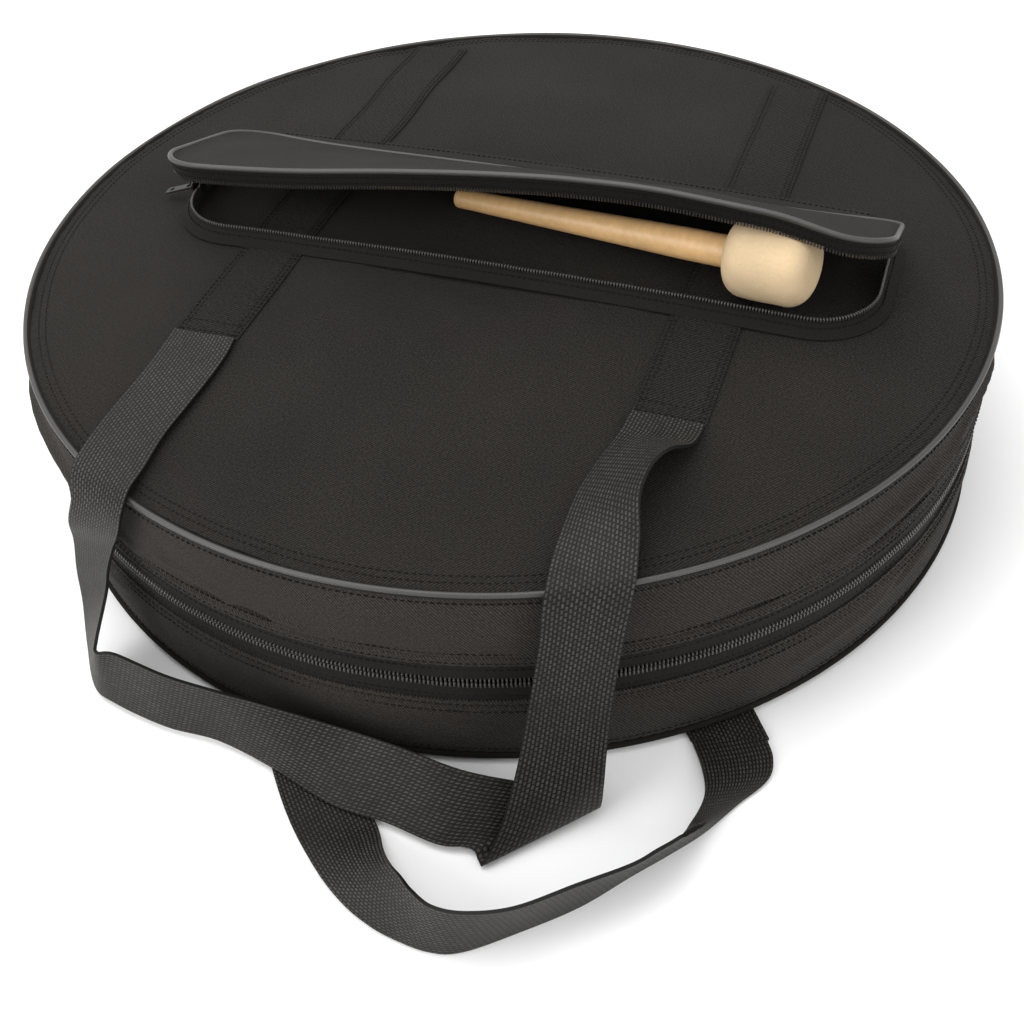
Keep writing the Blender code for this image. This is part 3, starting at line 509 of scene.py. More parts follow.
def cloth_material(name, colour, thread, angle, relief, contrast=0.35, quilt=0.0):
    """Woven cloth: thread is the distance between its diagonal ribs in metres."""
    material = bpy.data.materials.new(name)
    material.use_nodes = True
    nodes, links = material.node_tree.nodes, material.node_tree.links
    nodes.clear()

    weave = nodes.new("NodeFrame")
    weave.label = "Diagonal weave"
    grain = nodes.new("NodeFrame")
    grain.label = "Grain of the yarn"
    tone = nodes.new("NodeFrame")
    tone.label = "Tone, rubbed patches and painted rib light"
    surface = nodes.new("NodeFrame")
    surface.label = "Surface"

    place = nodes.new("ShaderNodeTexCoord")
    place.label = "Cut of the cloth"
    place.parent = weave
    turn = nodes.new("ShaderNodeMapping")
    turn.label = "Direction of the ribs"
    turn.parent = weave
    turn.inputs["Rotation"].default_value = (0, 0, math.radians(angle))
    ribs = nodes.new("ShaderNodeTexWave")
    ribs.label = "Ribs"
    ribs.parent = weave
    ribs.inputs["Scale"].default_value = 0.314 / thread
    ribs.inputs["Distortion"].default_value = 0.8
    ribs.inputs["Detail"].default_value = 1.0
    ribs.inputs["Detail Scale"].default_value = 1.5
    picks = nodes.new("ShaderNodeTexWave")
    picks.label = "Yarns that cross the ribs"
    picks.parent = weave
    picks.bands_direction = "Y"
    picks.inputs["Scale"].default_value = 0.314 / (thread * 0.7)
    picks.inputs["Distortion"].default_value = 0.6
    cloth = nodes.new("ShaderNodeMath")
    cloth.label = "Ribs broken by the yarns"
    cloth.parent = weave
    cloth.operation = "MULTIPLY_ADD"
    cloth.inputs[1].default_value = 0.35

    fibre = nodes.new("ShaderNodeTexNoise")
    fibre.label = "Uneven yarns"
    fibre.parent = grain
    fibre.inputs["Scale"].default_value = 1.1 / thread
    fibre.inputs["Detail"].default_value = 3.0
    fibre.inputs["Roughness"].default_value = 0.75
    speck = nodes.new("ShaderNodeValToRGB")
    speck.label = "Light and dark yarns"
    speck.parent = grain
    speck.color_ramp.elements[0].position = 0.32
    speck.color_ramp.elements[0].color = [c * (1 - contrast) for c in colour] + [1]
    speck.color_ramp.elements[1].position = 0.70
    speck.color_ramp.elements[1].color = [c * (1 + contrast) for c in colour] + [1]

    patch = nodes.new("ShaderNodeTexNoise")
    patch.label = "Large patches"
    patch.parent = tone
    patch.inputs["Scale"].default_value = 9.0
    patch.inputs["Detail"].default_value = 4.0
    fade = nodes.new("ShaderNodeMapRange")
    fade.label = "Slight fading"
    fade.parent = tone
    fade.inputs["From Min"].default_value = 0.3
    fade.inputs["From Max"].default_value = 0.7
    fade.inputs["To Min"].default_value = 0.82
    fade.inputs["To Max"].default_value = 1.16
    # Painted light: the ribs' colour is made lighter and darker in step with their relief.
    shade = nodes.new("ShaderNodeMapRange")
    shade.label = "Ribs catch the light"
    shade.parent = tone
    shade.inputs["To Min"].default_value = 1 - contrast
    shade.inputs["To Max"].default_value = 1 + contrast
    both = nodes.new("ShaderNodeMath")
    both.label = "Fading and ribs"
    both.parent = tone
    both.operation = "MULTIPLY"
    yarn_colour_and_painted_light = nodes.new("ShaderNodeVectorMath")
    yarn_colour_and_painted_light.label = "Colour of each yarn with painted light on the ribs"
    yarn_colour_and_painted_light.parent = tone
    yarn_colour_and_painted_light.operation = "SCALE"

    dull = nodes.new("ShaderNodeMapRange")
    dull.label = "Sheen of the yarn"
    dull.parent = surface
    dull.inputs["To Min"].default_value = 0.92
    dull.inputs["To Max"].default_value = 0.66
    height = nodes.new("ShaderNodeMath")
    height.label = "Relief of weave and grain"
    height.parent = surface
    height.operation = "MULTIPLY_ADD"
    height.inputs[1].default_value = 0.6
    bump = nodes.new("ShaderNodeBump")
    bump.label = "Woven relief"
    bump.parent = surface
    bump.inputs["Strength"].default_value = relief
    bump.inputs["Distance"].default_value = thread * 0.4
    shader = nodes.new("ShaderNodeBsdfPrincipled")
    shader.label = "Cloth"
    shader.parent = surface
    shader.inputs["Sheen Weight"].default_value = 0.02
    shader.inputs["Sheen Roughness"].default_value = 0.45
    shader.inputs["Specular IOR Level"].default_value = 0.10
    out = nodes.new("ShaderNodeOutputMaterial")
    out.label = "Finished cloth"
    out.parent = surface

    links.new(place.outputs["UV"], turn.inputs["Vector"])
    links.new(turn.outputs["Vector"], ribs.inputs["Vector"])
    links.new(turn.outputs["Vector"], picks.inputs["Vector"])
    links.new(picks.outputs["Fac"], cloth.inputs[0])
    links.new(ribs.outputs["Fac"], cloth.inputs[2])
    links.new(place.outputs["UV"], fibre.inputs["Vector"])
    links.new(fibre.outputs["Fac"], speck.inputs["Fac"])
    links.new(place.outputs["Object"], patch.inputs["Vector"])
    links.new(patch.outputs["Fac"], fade.inputs["Value"])
    links.new(cloth.outputs["Value"], shade.inputs["Value"])
    links.new(fade.outputs["Result"], both.inputs[0])
    links.new(shade.outputs["Result"], both.inputs[1])
    links.new(speck.outputs["Color"], yarn_colour_and_painted_light.inputs[0])
    links.new(both.outputs["Value"], yarn_colour_and_painted_light.inputs["Scale"])
    links.new(yarn_colour_and_painted_light.outputs["Vector"], shader.inputs["Base Color"])
    links.new(fibre.outputs["Fac"], dull.inputs["Value"])
    links.new(dull.outputs["Result"], shader.inputs["Roughness"])
    links.new(fibre.outputs["Fac"], height.inputs[0])
    links.new(cloth.outputs["Value"], height.inputs[2])
    links.new(height.outputs["Value"], bump.inputs["Height"])
    links.new(bump.outputs["Normal"], shader.inputs["Normal"])
    links.new(shader.outputs["BSDF"], out.inputs["Surface"])
    if quilt:
        padding = nodes.new("NodeFrame")
        padding.label = "Quilting"
        diamonds = nodes.new("ShaderNodeTexVoronoi")
        diamonds.label = "Quilted diamonds"
        diamonds.parent = padding
        diamonds.distance = "MANHATTAN"
        diamonds.inputs["Scale"].default_value = 1 / quilt
        diamonds.inputs["Randomness"].default_value = 0.0
        puff = nodes.new("ShaderNodeBump")
        puff.label = "Quilted relief"
        puff.parent = padding
        puff.invert = True
        puff.inputs["Strength"].default_value = 0.6
        puff.inputs["Distance"].default_value = 0.006
        links.new(place.outputs["Object"], diamonds.inputs["Vector"])
        links.new(diamonds.outputs["Distance"], puff.inputs["Height"])
        links.new(puff.outputs["Normal"], bump.inputs["Normal"])
    spread(nodes)
    return material


def webbing_material(name, colour, across, along):
    """Basket-woven webbing: staggered floats of yarn, across and along the strap in metres."""
    material = bpy.data.materials.new(name)
    material.use_nodes = True
    nodes, links = material.node_tree.nodes, material.node_tree.links
    nodes.clear()

    weave = nodes.new("NodeFrame")
    weave.label = "Basket weave"
    tone = nodes.new("NodeFrame")
    tone.label = "Yarn tone"
    surface = nodes.new("NodeFrame")
    surface.label = "Surface"

    place = nodes.new("ShaderNodeTexCoord")
    place.label = "Along the strap"
    place.parent = weave
    turn = nodes.new("ShaderNodeMapping")
    turn.label = "Floats lie along the strap"
    turn.parent = weave
    turn.inputs["Rotation"].default_value = (0, 0, math.radians(90))
    floats = nodes.new("ShaderNodeTexBrick")
    floats.label = "Staggered floats"
    floats.parent = weave
    floats.offset = 0.5
    floats.inputs["Scale"].default_value = 100.0
    floats.inputs["Brick Width"].default_value = along * 100
    floats.inputs["Row Height"].default_value = across * 100
    floats.inputs["Mortar Size"].default_value = across * 31
    floats.inputs["Mortar Smooth"].default_value = 0.55
    floats.inputs["Bias"].default_value = 0.0
    floats.inputs["Color1"].default_value = [*colour, 1]
    floats.inputs["Color2"].default_value = [*[c * 0.55 for c in colour], 1]
    # The gaps between the floats are painted shade: nearly black, as if the yarn there lay in shadow.
    floats.inputs["Mortar"].default_value = [*[c * 0.03 for c in colour], 1]
    lift = nodes.new("ShaderNodeMath")
    lift.label = "Floats stand over the gaps"
    lift.parent = weave
    lift.operation = "SUBTRACT"
    lift.inputs[0].default_value = 1.0

    fibre = nodes.new("ShaderNodeTexNoise")
    fibre.label = "Uneven yarns"
    fibre.parent = tone
    fibre.inputs["Scale"].default_value = 900.0
    fibre.inputs["Detail"].default_value = 2.0
    worn = nodes.new("ShaderNodeTexNoise")
    worn.label = "Rubbed stretches"
    worn.parent = tone
    worn.inputs["Scale"].default_value = 22.0
    worn.inputs["Detail"].default_value = 3.0
    amount = nodes.new("ShaderNodeMath")
    amount.label = "Yarn and rubbing together"
    amount.parent = tone
    amount.operation = "ADD"
    level = nodes.new("ShaderNodeMapRange")
    level.label = "From shaded to rubbed"
    level.parent = tone
    level.inputs["From Min"].default_value = 0.7
    level.inputs["From Max"].default_value = 1.3
    level.inputs["To Min"].default_value = 0.6
    level.inputs["To Max"].default_value = 1.35
    yarn_colour_and_painted_light = nodes.new("ShaderNodeVectorMath")
    yarn_colour_and_painted_light.label = "Colour of each float with painted shade in its gaps"
    yarn_colour_and_painted_light.parent = tone
    yarn_colour_and_painted_light.operation = "SCALE"

    bump = nodes.new("ShaderNodeBump")
    bump.label = "Woven relief"
    bump.parent = surface
    bump.inputs["Strength"].default_value = 0.9
    bump.inputs["Distance"].default_value = 0.0006
    shader = nodes.new("ShaderNodeBsdfPrincipled")
    shader.label = "Nylon yarn"
    shader.parent = surface
    shader.inputs["Roughness"].default_value = 0.52
    shader.inputs["Specular IOR Level"].default_value = 0.22
    shader.inputs["Sheen Weight"].default_value = 0.02
    out = nodes.new("ShaderNodeOutputMaterial")
    out.label = "Finished webbing"
    out.parent = surface

    links.new(place.outputs["UV"], turn.inputs["Vector"])
    links.new(turn.outputs["Vector"], floats.inputs["Vector"])
    links.new(floats.outputs["Fac"], lift.inputs[1])
    links.new(place.outputs["UV"], fibre.inputs["Vector"])
    links.new(place.outputs["Object"], worn.inputs["Vector"])
    links.new(fibre.outputs["Fac"], amount.inputs[0])
    links.new(worn.outputs["Fac"], amount.inputs[1])
    links.new(amount.outputs["Value"], level.inputs["Value"])
    links.new(floats.outputs["Color"], yarn_colour_and_painted_light.inputs[0])
    links.new(level.outputs["Result"], yarn_colour_and_painted_light.inputs["Scale"])
    links.new(yarn_colour_and_painted_light.outputs["Vector"], shader.inputs["Base Color"])
    links.new(lift.outputs["Value"], bump.inputs["Height"])
    links.new(bump.outputs["Normal"], shader.inputs["Normal"])
    links.new(shader.outputs["BSDF"], out.inputs["Surface"])
    spread(nodes)
    return material


def mottled_material(
    name, colour, rough, metallic=0.0, grain=400.0, relief=0.2, stretch=(1, 1, 1), depth=0.25, gloss=0.5
):
    """A plain finish with fine grain: moulded plastic, painted metal, thread, turned wood or felt."""
    material = bpy.data.materials.new(name)
    material.use_nodes = True
    nodes, links = material.node_tree.nodes, material.node_tree.links
    nodes.clear()

    pattern = nodes.new("NodeFrame")
    pattern.label = "Grain"
    surface = nodes.new("NodeFrame")
    surface.label = "Surface"

    place = nodes.new("ShaderNodeTexCoord")
    place.label = "Place on the piece"
    place.parent = pattern
    run = nodes.new("ShaderNodeMapping")
    run.label = "Run of the grain"
    run.parent = pattern
    run.inputs["Scale"].default_value = stretch
    fine = nodes.new("ShaderNodeTexNoise")
    fine.label = "Fine grain"
    fine.parent = pattern
    fine.inputs["Scale"].default_value = grain
    fine.inputs["Detail"].default_value = 5.0
    fine.inputs["Roughness"].default_value = 0.65
    broad = nodes.new("ShaderNodeTexNoise")
    broad.label = "Broad variation"
    broad.parent = pattern
    broad.inputs["Scale"].default_value = grain / 12
    broad.inputs["Detail"].default_value = 2.0
    both = nodes.new("ShaderNodeMath")
    both.label = "Both grains"
    both.parent = pattern
    both.operation = "ADD"
    tint = nodes.new("ShaderNodeValToRGB")
    tint.label = "From dark to light"
    tint.parent = pattern
    tint.color_ramp.elements[0].position = 0.35
    tint.color_ramp.elements[0].color = [*[c * (1 - depth) for c in colour], 1]
    tint.color_ramp.elements[1].position = 0.65
    tint.color_ramp.elements[1].color = [*[min(c * (1 + depth), 1) for c in colour], 1]
    half = nodes.new("ShaderNodeMath")
    half.label = "Their mean"
    half.parent = pattern
    half.operation = "MULTIPLY"
    half.inputs[1].default_value = 0.5

    polish = nodes.new("ShaderNodeMapRange")
    polish.label = "Uneven polish"
    polish.parent = surface
    polish.inputs["To Min"].default_value = rough * 0.85
    polish.inputs["To Max"].default_value = min(rough * 1.15, 1.0)
    bump = nodes.new("ShaderNodeBump")
    bump.label = "Fine relief"
    bump.parent = surface
    bump.inputs["Strength"].default_value = relief
    bump.inputs["Distance"].default_value = 0.3 / grain
    shader = nodes.new("ShaderNodeBsdfPrincipled")
    shader.label = "Finish"
    shader.parent = surface
    shader.inputs["Metallic"].default_value = metallic
    shader.inputs["Specular IOR Level"].default_value = gloss
    out = nodes.new("ShaderNodeOutputMaterial")
    out.label = "Finished piece"
    out.parent = surface

    links.new(place.outputs["Object"], run.inputs["Vector"])
    links.new(run.outputs["Vector"], fine.inputs["Vector"])
    links.new(run.outputs["Vector"], broad.inputs["Vector"])
    links.new(fine.outputs["Fac"], both.inputs[0])
    links.new(broad.outputs["Fac"], both.inputs[1])
    links.new(both.outputs["Value"], half.inputs[0])
    links.new(half.outputs["Value"], tint.inputs["Fac"])
    links.new(tint.outputs["Color"], shader.inputs["Base Color"])
    links.new(fine.outputs["Fac"], polish.inputs["Value"])
    links.new(polish.outputs["Result"], shader.inputs["Roughness"])
    links.new(fine.outputs["Fac"], bump.inputs["Height"])
    links.new(bump.outputs["Normal"], shader.inputs["Normal"])
    links.new(shader.outputs["BSDF"], out.inputs["Surface"])
    spread(nodes)
    return material


def finish(key):
    """The finish of one kind of piece, made once."""
    label = f"case_{key}"
    if label in bpy.data.materials:
        return bpy.data.materials[label]
    tint = colours()
    lining = (0.017, 0.0165, 0.0165)
    thread = (0.0080, 0.0072, 0.0064)
    makers = {
        "lid_canvas": lambda: cloth_material(label, tint.canvas, 0.0013, 38, 0.7, 0.62),
        # The walls and the hinge use the lid's canvas made 1.65 times brighter: painted light, standing in
        # for the light from the front that falls on the walls.
        "wall_canvas_painted_light": lambda: cloth_material(label, [c * 1.65 for c in tint.canvas], 0.0014, 52, 0.7, 0.6),
        "flap_canvas": lambda: cloth_material(label, [c * 1.12 for c in tint.canvas], 0.0011, 45, 0.6, 0.55),
        "strap_cover": lambda: cloth_material(label, tint.cover, 0.0017, 45, 0.8, 0.75),
        "zip_tape": lambda: cloth_material(label, [c * 0.72 for c in tint.canvas], 0.0009, 0, 0.4, 0.25),
        "lining": lambda: cloth_material(label, lining, 0.0008, 0, 0.2, 0.15, quilt=0.06),
        "webbing": lambda: webbing_material(label, tint.webbing, 0.0019, 0.0028),
        "piping": lambda: mottled_material(label, tint.piping, 0.42, grain=900.0, relief=0.25, depth=0.12),
        "zip_coil": lambda: mottled_material(label, (0.040, 0.037, 0.034), 0.3, grain=700.0, relief=0.05),
        "slider": lambda: mottled_material(label, (0.0105, 0.0100, 0.0095), 0.42, 0.2, 500.0, 0.1),
        "thread": lambda: mottled_material(label, thread, 0.8, grain=1500.0, relief=0.3, gloss=0.1),
        "maple": lambda: mottled_material(
            label, tint.maple, 0.42, grain=260.0, relief=0.1, stretch=(0.12, 1.0, 1.0), depth=0.14
        ),
        "felt": lambda: mottled_material(label, tint.felt, 0.95, grain=650.0, relief=0.55, depth=0.07),
        "foam": lambda: mottled_material(label, (0.03, 0.03, 0.03), 0.95, grain=900.0, relief=0.4),
        "floor": lambda: mottled_material(label, tint.floor, 0.85, grain=20.0, relief=0.0, depth=0.004),
    }
    return makers[key]()


# ---------------------------------------------------------------- the case's halves


def wall_pad(name, side, folds, low, high, material):
    """A padded wall from its piping to its hem beside the zip; side is 1 for the lid, -1 for the base."""
    degrees = np.linspace(90, 450, 720, endpoint=False)[:, None]
    height = np.linspace(high, low, 34)[None, :]
    centred = (degrees + 180) % 360 - 180
    arc = np.radians(degrees) * SEAM_RADIUS
    share = (height - low) / (high - low)
    belly = 1.5 * np.sin(np.clip(share, 0, 1) * math.pi) ** 0.8
    soft = 0.45 * ripple(arc, height * 1.6, 70, 21 + side) + 0.2 * ripple(arc, height, 22, 31 + side)
    hem_height = 79.5 if side > 0 else 43.5
    hem = np.exp(-(((height - hem_height) / 0.8) ** 2))
    band = 1 / (1 + np.exp(side * (height - hem_height) / 0.5))
    edge = np.minimum(height - low, high - height)
    pucker = 0.25 * np.sin(np.radians(degrees) * 260) * np.exp(-edge / 3.5)
    out = 277.7 + belly + soft * np.clip(edge / 8, 0, 1) + 0.5 * band - 1.0 * hem + pucker
    out = out + fold_depth(folds, centred, height) * np.clip(edge / 5, 0, 1)
    turn = np.radians(degrees)
    grid = np.stack([out * np.cos(turn), out * np.sin(turn), height + 0 * degrees], axis=2)
    return skin(name, grid, 8.2, material, ring=True)


def zip_degrees(count):
    """Angles along the main zip, from one end of the cloth hinge round to the other."""
    return np.linspace(HINGE[1] + ZIP_END_GAP, HINGE[0] + 360 - ZIP_END_GAP, count)


def zip_half(prefix, body, side):
    """Tape and teeth of one side of the main zip."""
    degrees = zip_degrees(620)
    wave = 0.25 * ripple(degrees * ARC_PER_DEGREE, degrees * 0, 55, 61)
    section = ((18.0, 276.5), (13.0, 276.9), (9.0, 277.4), (6.0, 277.1), (3.4, 276.9), (1.6, 276.6))
    rows = [wall_ring(degrees, radius + wave, ZIP_HEIGHT + side * away) for away, radius in section]
    if side < 0:
        rows.reverse()
    tape = skin(f"{prefix}_zip_cloth", np.stack(rows, axis=1), 0.8, finish("zip_tape"))
    put(tape, body, "tape", f"{prefix}_zip_tape")
    path = wall_ring(degrees, ZIP_RADIUS + wave, ZIP_HEIGHT + side * 1.5)
    outward = wall_ring(degrees, 1.0, 0.0)
    pitch = sizes().tooth_pitch * 1000
    if side > 0:
        path, outward = path[::-1], outward[::-1]
    coil = teeth(f"{prefix}_zip_teeth", path, (0, 0, -side), outward, pitch, finish("zip_coil"))
    put(coil, body, "coil", f"{prefix}_zip_coil")


def wall_rows(degrees, heights_and_radii):
    """Stitch rows along the walls."""
    outward = wall_ring(degrees, 1.0, 0.0)
    return [(wall_ring(degrees, radius, height), outward) for height, radius in heights_and_radii]


def disc_grid(count, radii):
    """Points of a disc on spokes from its rear, and their distances from the middle."""
    turns = np.linspace(math.pi / 2, 2.5 * math.pi, count, endpoint=False)[:, None]
    radii = np.concatenate(radii)[None, :]
    return radii * np.cos(turns), radii * np.sin(turns), radii


def lid_strip(x, low, high, width, above, steps=90, across=9):
    """A strip that lies on the lid along Y."""
    ys = np.linspace(low, high, steps)
    xs = np.linspace(x - width / 2, x + width / 2, across)
    grid_x, grid_y = np.meshgrid(xs, ys)
    edge = np.abs(grid_x - x) / (width / 2)
    z = lid_cloth(grid_x, grid_y) + above + 0.35 * (1 - edge**6)
    return np.stack([grid_x, grid_y, z], axis=2)


class CASE_OT_lid(bpy.types.Operator):
    """Make the padded lid: its crowned top, wall, piping, zip half and seam stitches"""

    bl_idname = "drum_case.lid"
    bl_label = "Lid"

    def execute(self, context):
        x, y, _ = disc_grid(540, [np.linspace(0.2, 255, 74), np.linspace(257.5, 275.4, 13)])
        grid = np.stack([x, y, lid_cloth(x, y)], axis=2)
        top = skin("lid_pad", grid, 9.4, finish("lid_canvas"), ring=True, plan=True)
        put(top, "lid", "canvas", "lid_panel", "lid_foam")
        wall = wall_pad("lid_wall_pad", 1, LID_FOLDS, 74.0, 120.6, finish("wall_canvas_painted_light"))
        put(wall, "lid", "canvas", "lid_wall_shell", "lid_wall_foam")
        ring = sizes().ring_radius * 1000
        degrees = np.linspace(0, 360, 720, endpoint=False)
        wobble = 0.25 * ripple(degrees * ARC_PER_DEGREE, degrees * 0, 90, 71)
        path = wall_ring(degrees, ring + 0.25 + 0.15 * wobble, 122.9 + wobble)
        cord = round_cord("lid_piping_cord", path, (0, 0, 1), 1.5, finish("piping"))
        put(cord, "lid", "piping", "lid_piping")
        path = wall_ring(degrees, ring - 0.7, 121.6)
        welt = round_cord("lid_welt", path, (0, 0, 1), 2.1, finish("zip_tape"))
        put(welt, "lid", "piping")
        zip_half("lid", "lid", 1)
        degrees = np.linspace(90, 450, 1400)
        rows = wall_rows(degrees, [(117.4, 278.4), (76.4, 278.6), (83.0, 278.6)])
        for radius in (270.6, 266.8):
            seam = wall_ring(degrees, radius, 0.0)
            seam[:, 2] = lid_cloth(seam[:, 0], seam[:, 1]) + 0.05
            rows.append((seam, (0, 0, 1)))
        rows += wall_rows(zip_degrees(1300), [(70.4, ZIP_ROW_RADIUS)])
        put(stitch_rows("lid_stitches", rows, finish("thread")), "lid", "canvas")
        return {"FINISHED"}


class CASE_OT_base(bpy.types.Operator):
    """Make the padded base: its underside, wall, piping, zip half and the cloth hinge at the rear"""

    bl_idname = "drum_case.base"
    bl_label = "Base"

    def execute(self, context):
        x, y, radii = disc_grid(360, [np.linspace(275.4, 257, 12), np.linspace(254, 0.2, 50)])
        z = 2.1 - 1.4 * np.clip((radii - 262) / 13, 0, 1) ** 2 + 0.15 * ripple(x, y, 80, 14)
        grid = np.stack([x, y, z], axis=2)
        under = skin("base_pad", grid, 7.2, finish("lid_canvas"), ring=True, plan=True)
        put(under, "base", "canvas", "base_panel", "base_foam")
        wall = wall_pad("base_wall_pad", -1, BASE_FOLDS, 7.2, 48.0, finish("wall_canvas_painted_light"))
        put(wall, "base", "canvas", "base_wall_shell", "base_wall_foam")
        ring = sizes().ring_radius * 1000
        degrees = np.linspace(0, 360, 720, endpoint=False)
        cord = round_cord("base_piping_cord", wall_ring(degrees, ring, 5.1), (0, 0, 1), 1.9, finish("thread"))
        put(cord, "base", "piping", "base_piping")
        zip_half("base", "base", -1)
        rows = wall_rows(np.linspace(90, 450, 1400), [(10.6, 278.2), (45.6, 278.6), (40.4, 278.7)])
        rows += wall_rows(zip_degrees(1300), [(51.6, ZIP_ROW_RADIUS)])
        put(stitch_rows("base_stitches", rows, finish("thread")), "base", "canvas")

        degrees = np.linspace(*HINGE, 90)
        low, high = 45.0, 77.0
        rows = []
        for height in np.linspace(high, low, 24):
            bulge = 0.5 * np.sin((height - low) / (high - low) * math.pi)
            soft = 0.3 * ripple(degrees * ARC_PER_DEGREE, degrees * 0 + height, 26, 17)
            rows.append(wall_ring(degrees, 280.1 + bulge + soft, height))
        hinge = skin("hinge_cloth", np.stack(rows, axis=1), 0.9, finish("wall_canvas_painted_light"))
        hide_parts("hinge_panel")
        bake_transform(hinge)
        return {"FINISHED"}


class CASE_OT_covers(bpy.types.Operator):
    """Make the stitched strap covers on the lid and on the underside"""

    bl_idname = "drum_case.covers"
    bl_label = "Strap covers"

    def execute(self, context):
        for side, name in ((-1, "left"), (1, "right")):
            x = side * STRAP_X
            grid = lid_strip(x, COVER_FRONT, 231.0, 38.4, 1.0)
            cover = skin(f"lid_cover_{name}", grid, 1.0, finish("strap_cover"), plan=True)
            put(cover, "lid", "strap_cover", f"lid_strap_cover_{name}")
            rows = []
            for away in (-17.4, -14.8, 14.8, 17.4):
                line = lid_strip(x + away, COVER_FRONT + 1, 229.0, 0.1, 1.28, 200, 2)[:, 0]
                rows.append((line, (0, 0, 1)))
            for y in (-129.8, -121.5):
                line = np.linspace((x - 17.4, y, 0), (x + 17.4, y, 0), 30)
                line[:, 2] = lid_cloth(line[:, 0], line[:, 1]) + 1.35
                rows.append((line, (0, 0, 1)))
            put(stitch_rows(f"lid_cover_stitches_{name}", rows, finish("thread")), "lid", "strap_cover")
            ys = np.linspace(235.8, COVER_FRONT + 1.5, 60)
            section = ((-19.2, 0.15), (0.0, 0.05), (19.2, 0.15))
            grid = np.stack([np.stack([0 * ys + x + w, ys, 0 * ys + z], axis=1) for w, z in section], axis=1)
            under = skin(f"base_cover_{name}", grid, 1.3, finish("strap_cover"), plan=True)
            put(under, "base", "strap_cover", f"base_strap_cover_{name}")
        return {"FINISHED"}


# ---------------------------------------------------------------- the beater pocket


def pocket_line(grow=0.0, arc=14, run=70, back=50.0):
    """The pocket's outline from above, from its left end round the front to its right end."""
    half, front, radius = POCKET_HALF + grow, POCKET_FRONT - grow, POCKET_CORNER + grow
    left, right = POCKET_X - half + radius, POCKET_X + half - radius
    points = [(POCKET_X - half, y) for y in np.linspace(back, front + radius, 12, endpoint=False)]
    for i in range(arc + 1):
        angle = math.pi + math.pi / 2 * i / arc
        points.append((left + radius * math.cos(angle), front + radius + radius * math.sin(angle)))
    points += [(left + (right - left) * i / run, front) for i in range(1, run)]
    for i in range(arc + 1):
        angle = -math.pi / 2 + math.pi / 2 * i / arc
        points.append((right + radius * math.cos(angle), front + radius + radius * math.sin(angle)))
    points += [(POCKET_X + half, y) for y in np.linspace(front + radius, back, 13)[1:]]
    return np.array(points)


def flap_point(x, depth, off=0.0):
    """A point on the raised flap: depth from its hinge, off below its underside."""
    u = (x - POCKET_X) / FLAP_HALF
    lift = (8 if u < 0 else 6) * u**6
    near = [x + d for d in (-14, -7, 0, 7, 14)]
    pitch = math.radians(np.mean(np.interp(near, FLAP_PITCH_AT, FLAP_PITCH)))
    lean = math.radians(10)
    start = on_lid(x, FLAP_AXIS_Y, FLAP_AXIS_HEIGHT + lift)
    along = np.array([0, -math.cos(pitch), math.sin(pitch)])
    return start + along * depth + np.array([0, math.sin(lean), -math.cos(lean)]) * off


def flap_edge(closed, arc=12, run=60, rise=24):
    """The flap's outline as pairs of x and depth, round its front three sides or all the way."""
    left, right = POCKET_X - FLAP_HALF, POCKET_X + FLAP_HALF
    near, far = FLAP_CORNER, FLAP_DEPTH - FLAP_CORNER

    def corner(x, depth, first):
        turns = [math.pi * (first - 0.5 * i / arc) for i in range(arc + 1)]
        return [(x + FLAP_CORNER * math.cos(a), depth + FLAP_CORNER * math.sin(a)) for a in turns]

    edge = [(left, d) for d in np.linspace(near, far, rise, endpoint=False)]
    edge += corner(left + FLAP_CORNER, far, 1.0)
    edge += [(x, FLAP_DEPTH) for x in np.linspace(left + FLAP_CORNER, right - FLAP_CORNER, run)[1:-1]]
    edge += corner(right - FLAP_CORNER, far, 0.5)
    edge += [(right, d) for d in np.linspace(far, near, rise, endpoint=False)[1:]]
    if closed:
        edge += corner(right - FLAP_CORNER, near, 0.0)
        edge += [(x, 0.0) for x in np.linspace(right - FLAP_CORNER, left + FLAP_CORNER, run)[1:-1]]
        edge += corner(left + FLAP_CORNER, near, 1.5)[:-1]
    return edge


def outward_of(points):
    """The level direction that points away from the inside of an outline run from left to right."""
    ahead = np.gradient(np.asarray(points, float), axis=0)
    return unit(np.stack([ahead[:, 1], -ahead[:, 0], 0 * ahead[:, 0]], axis=1))


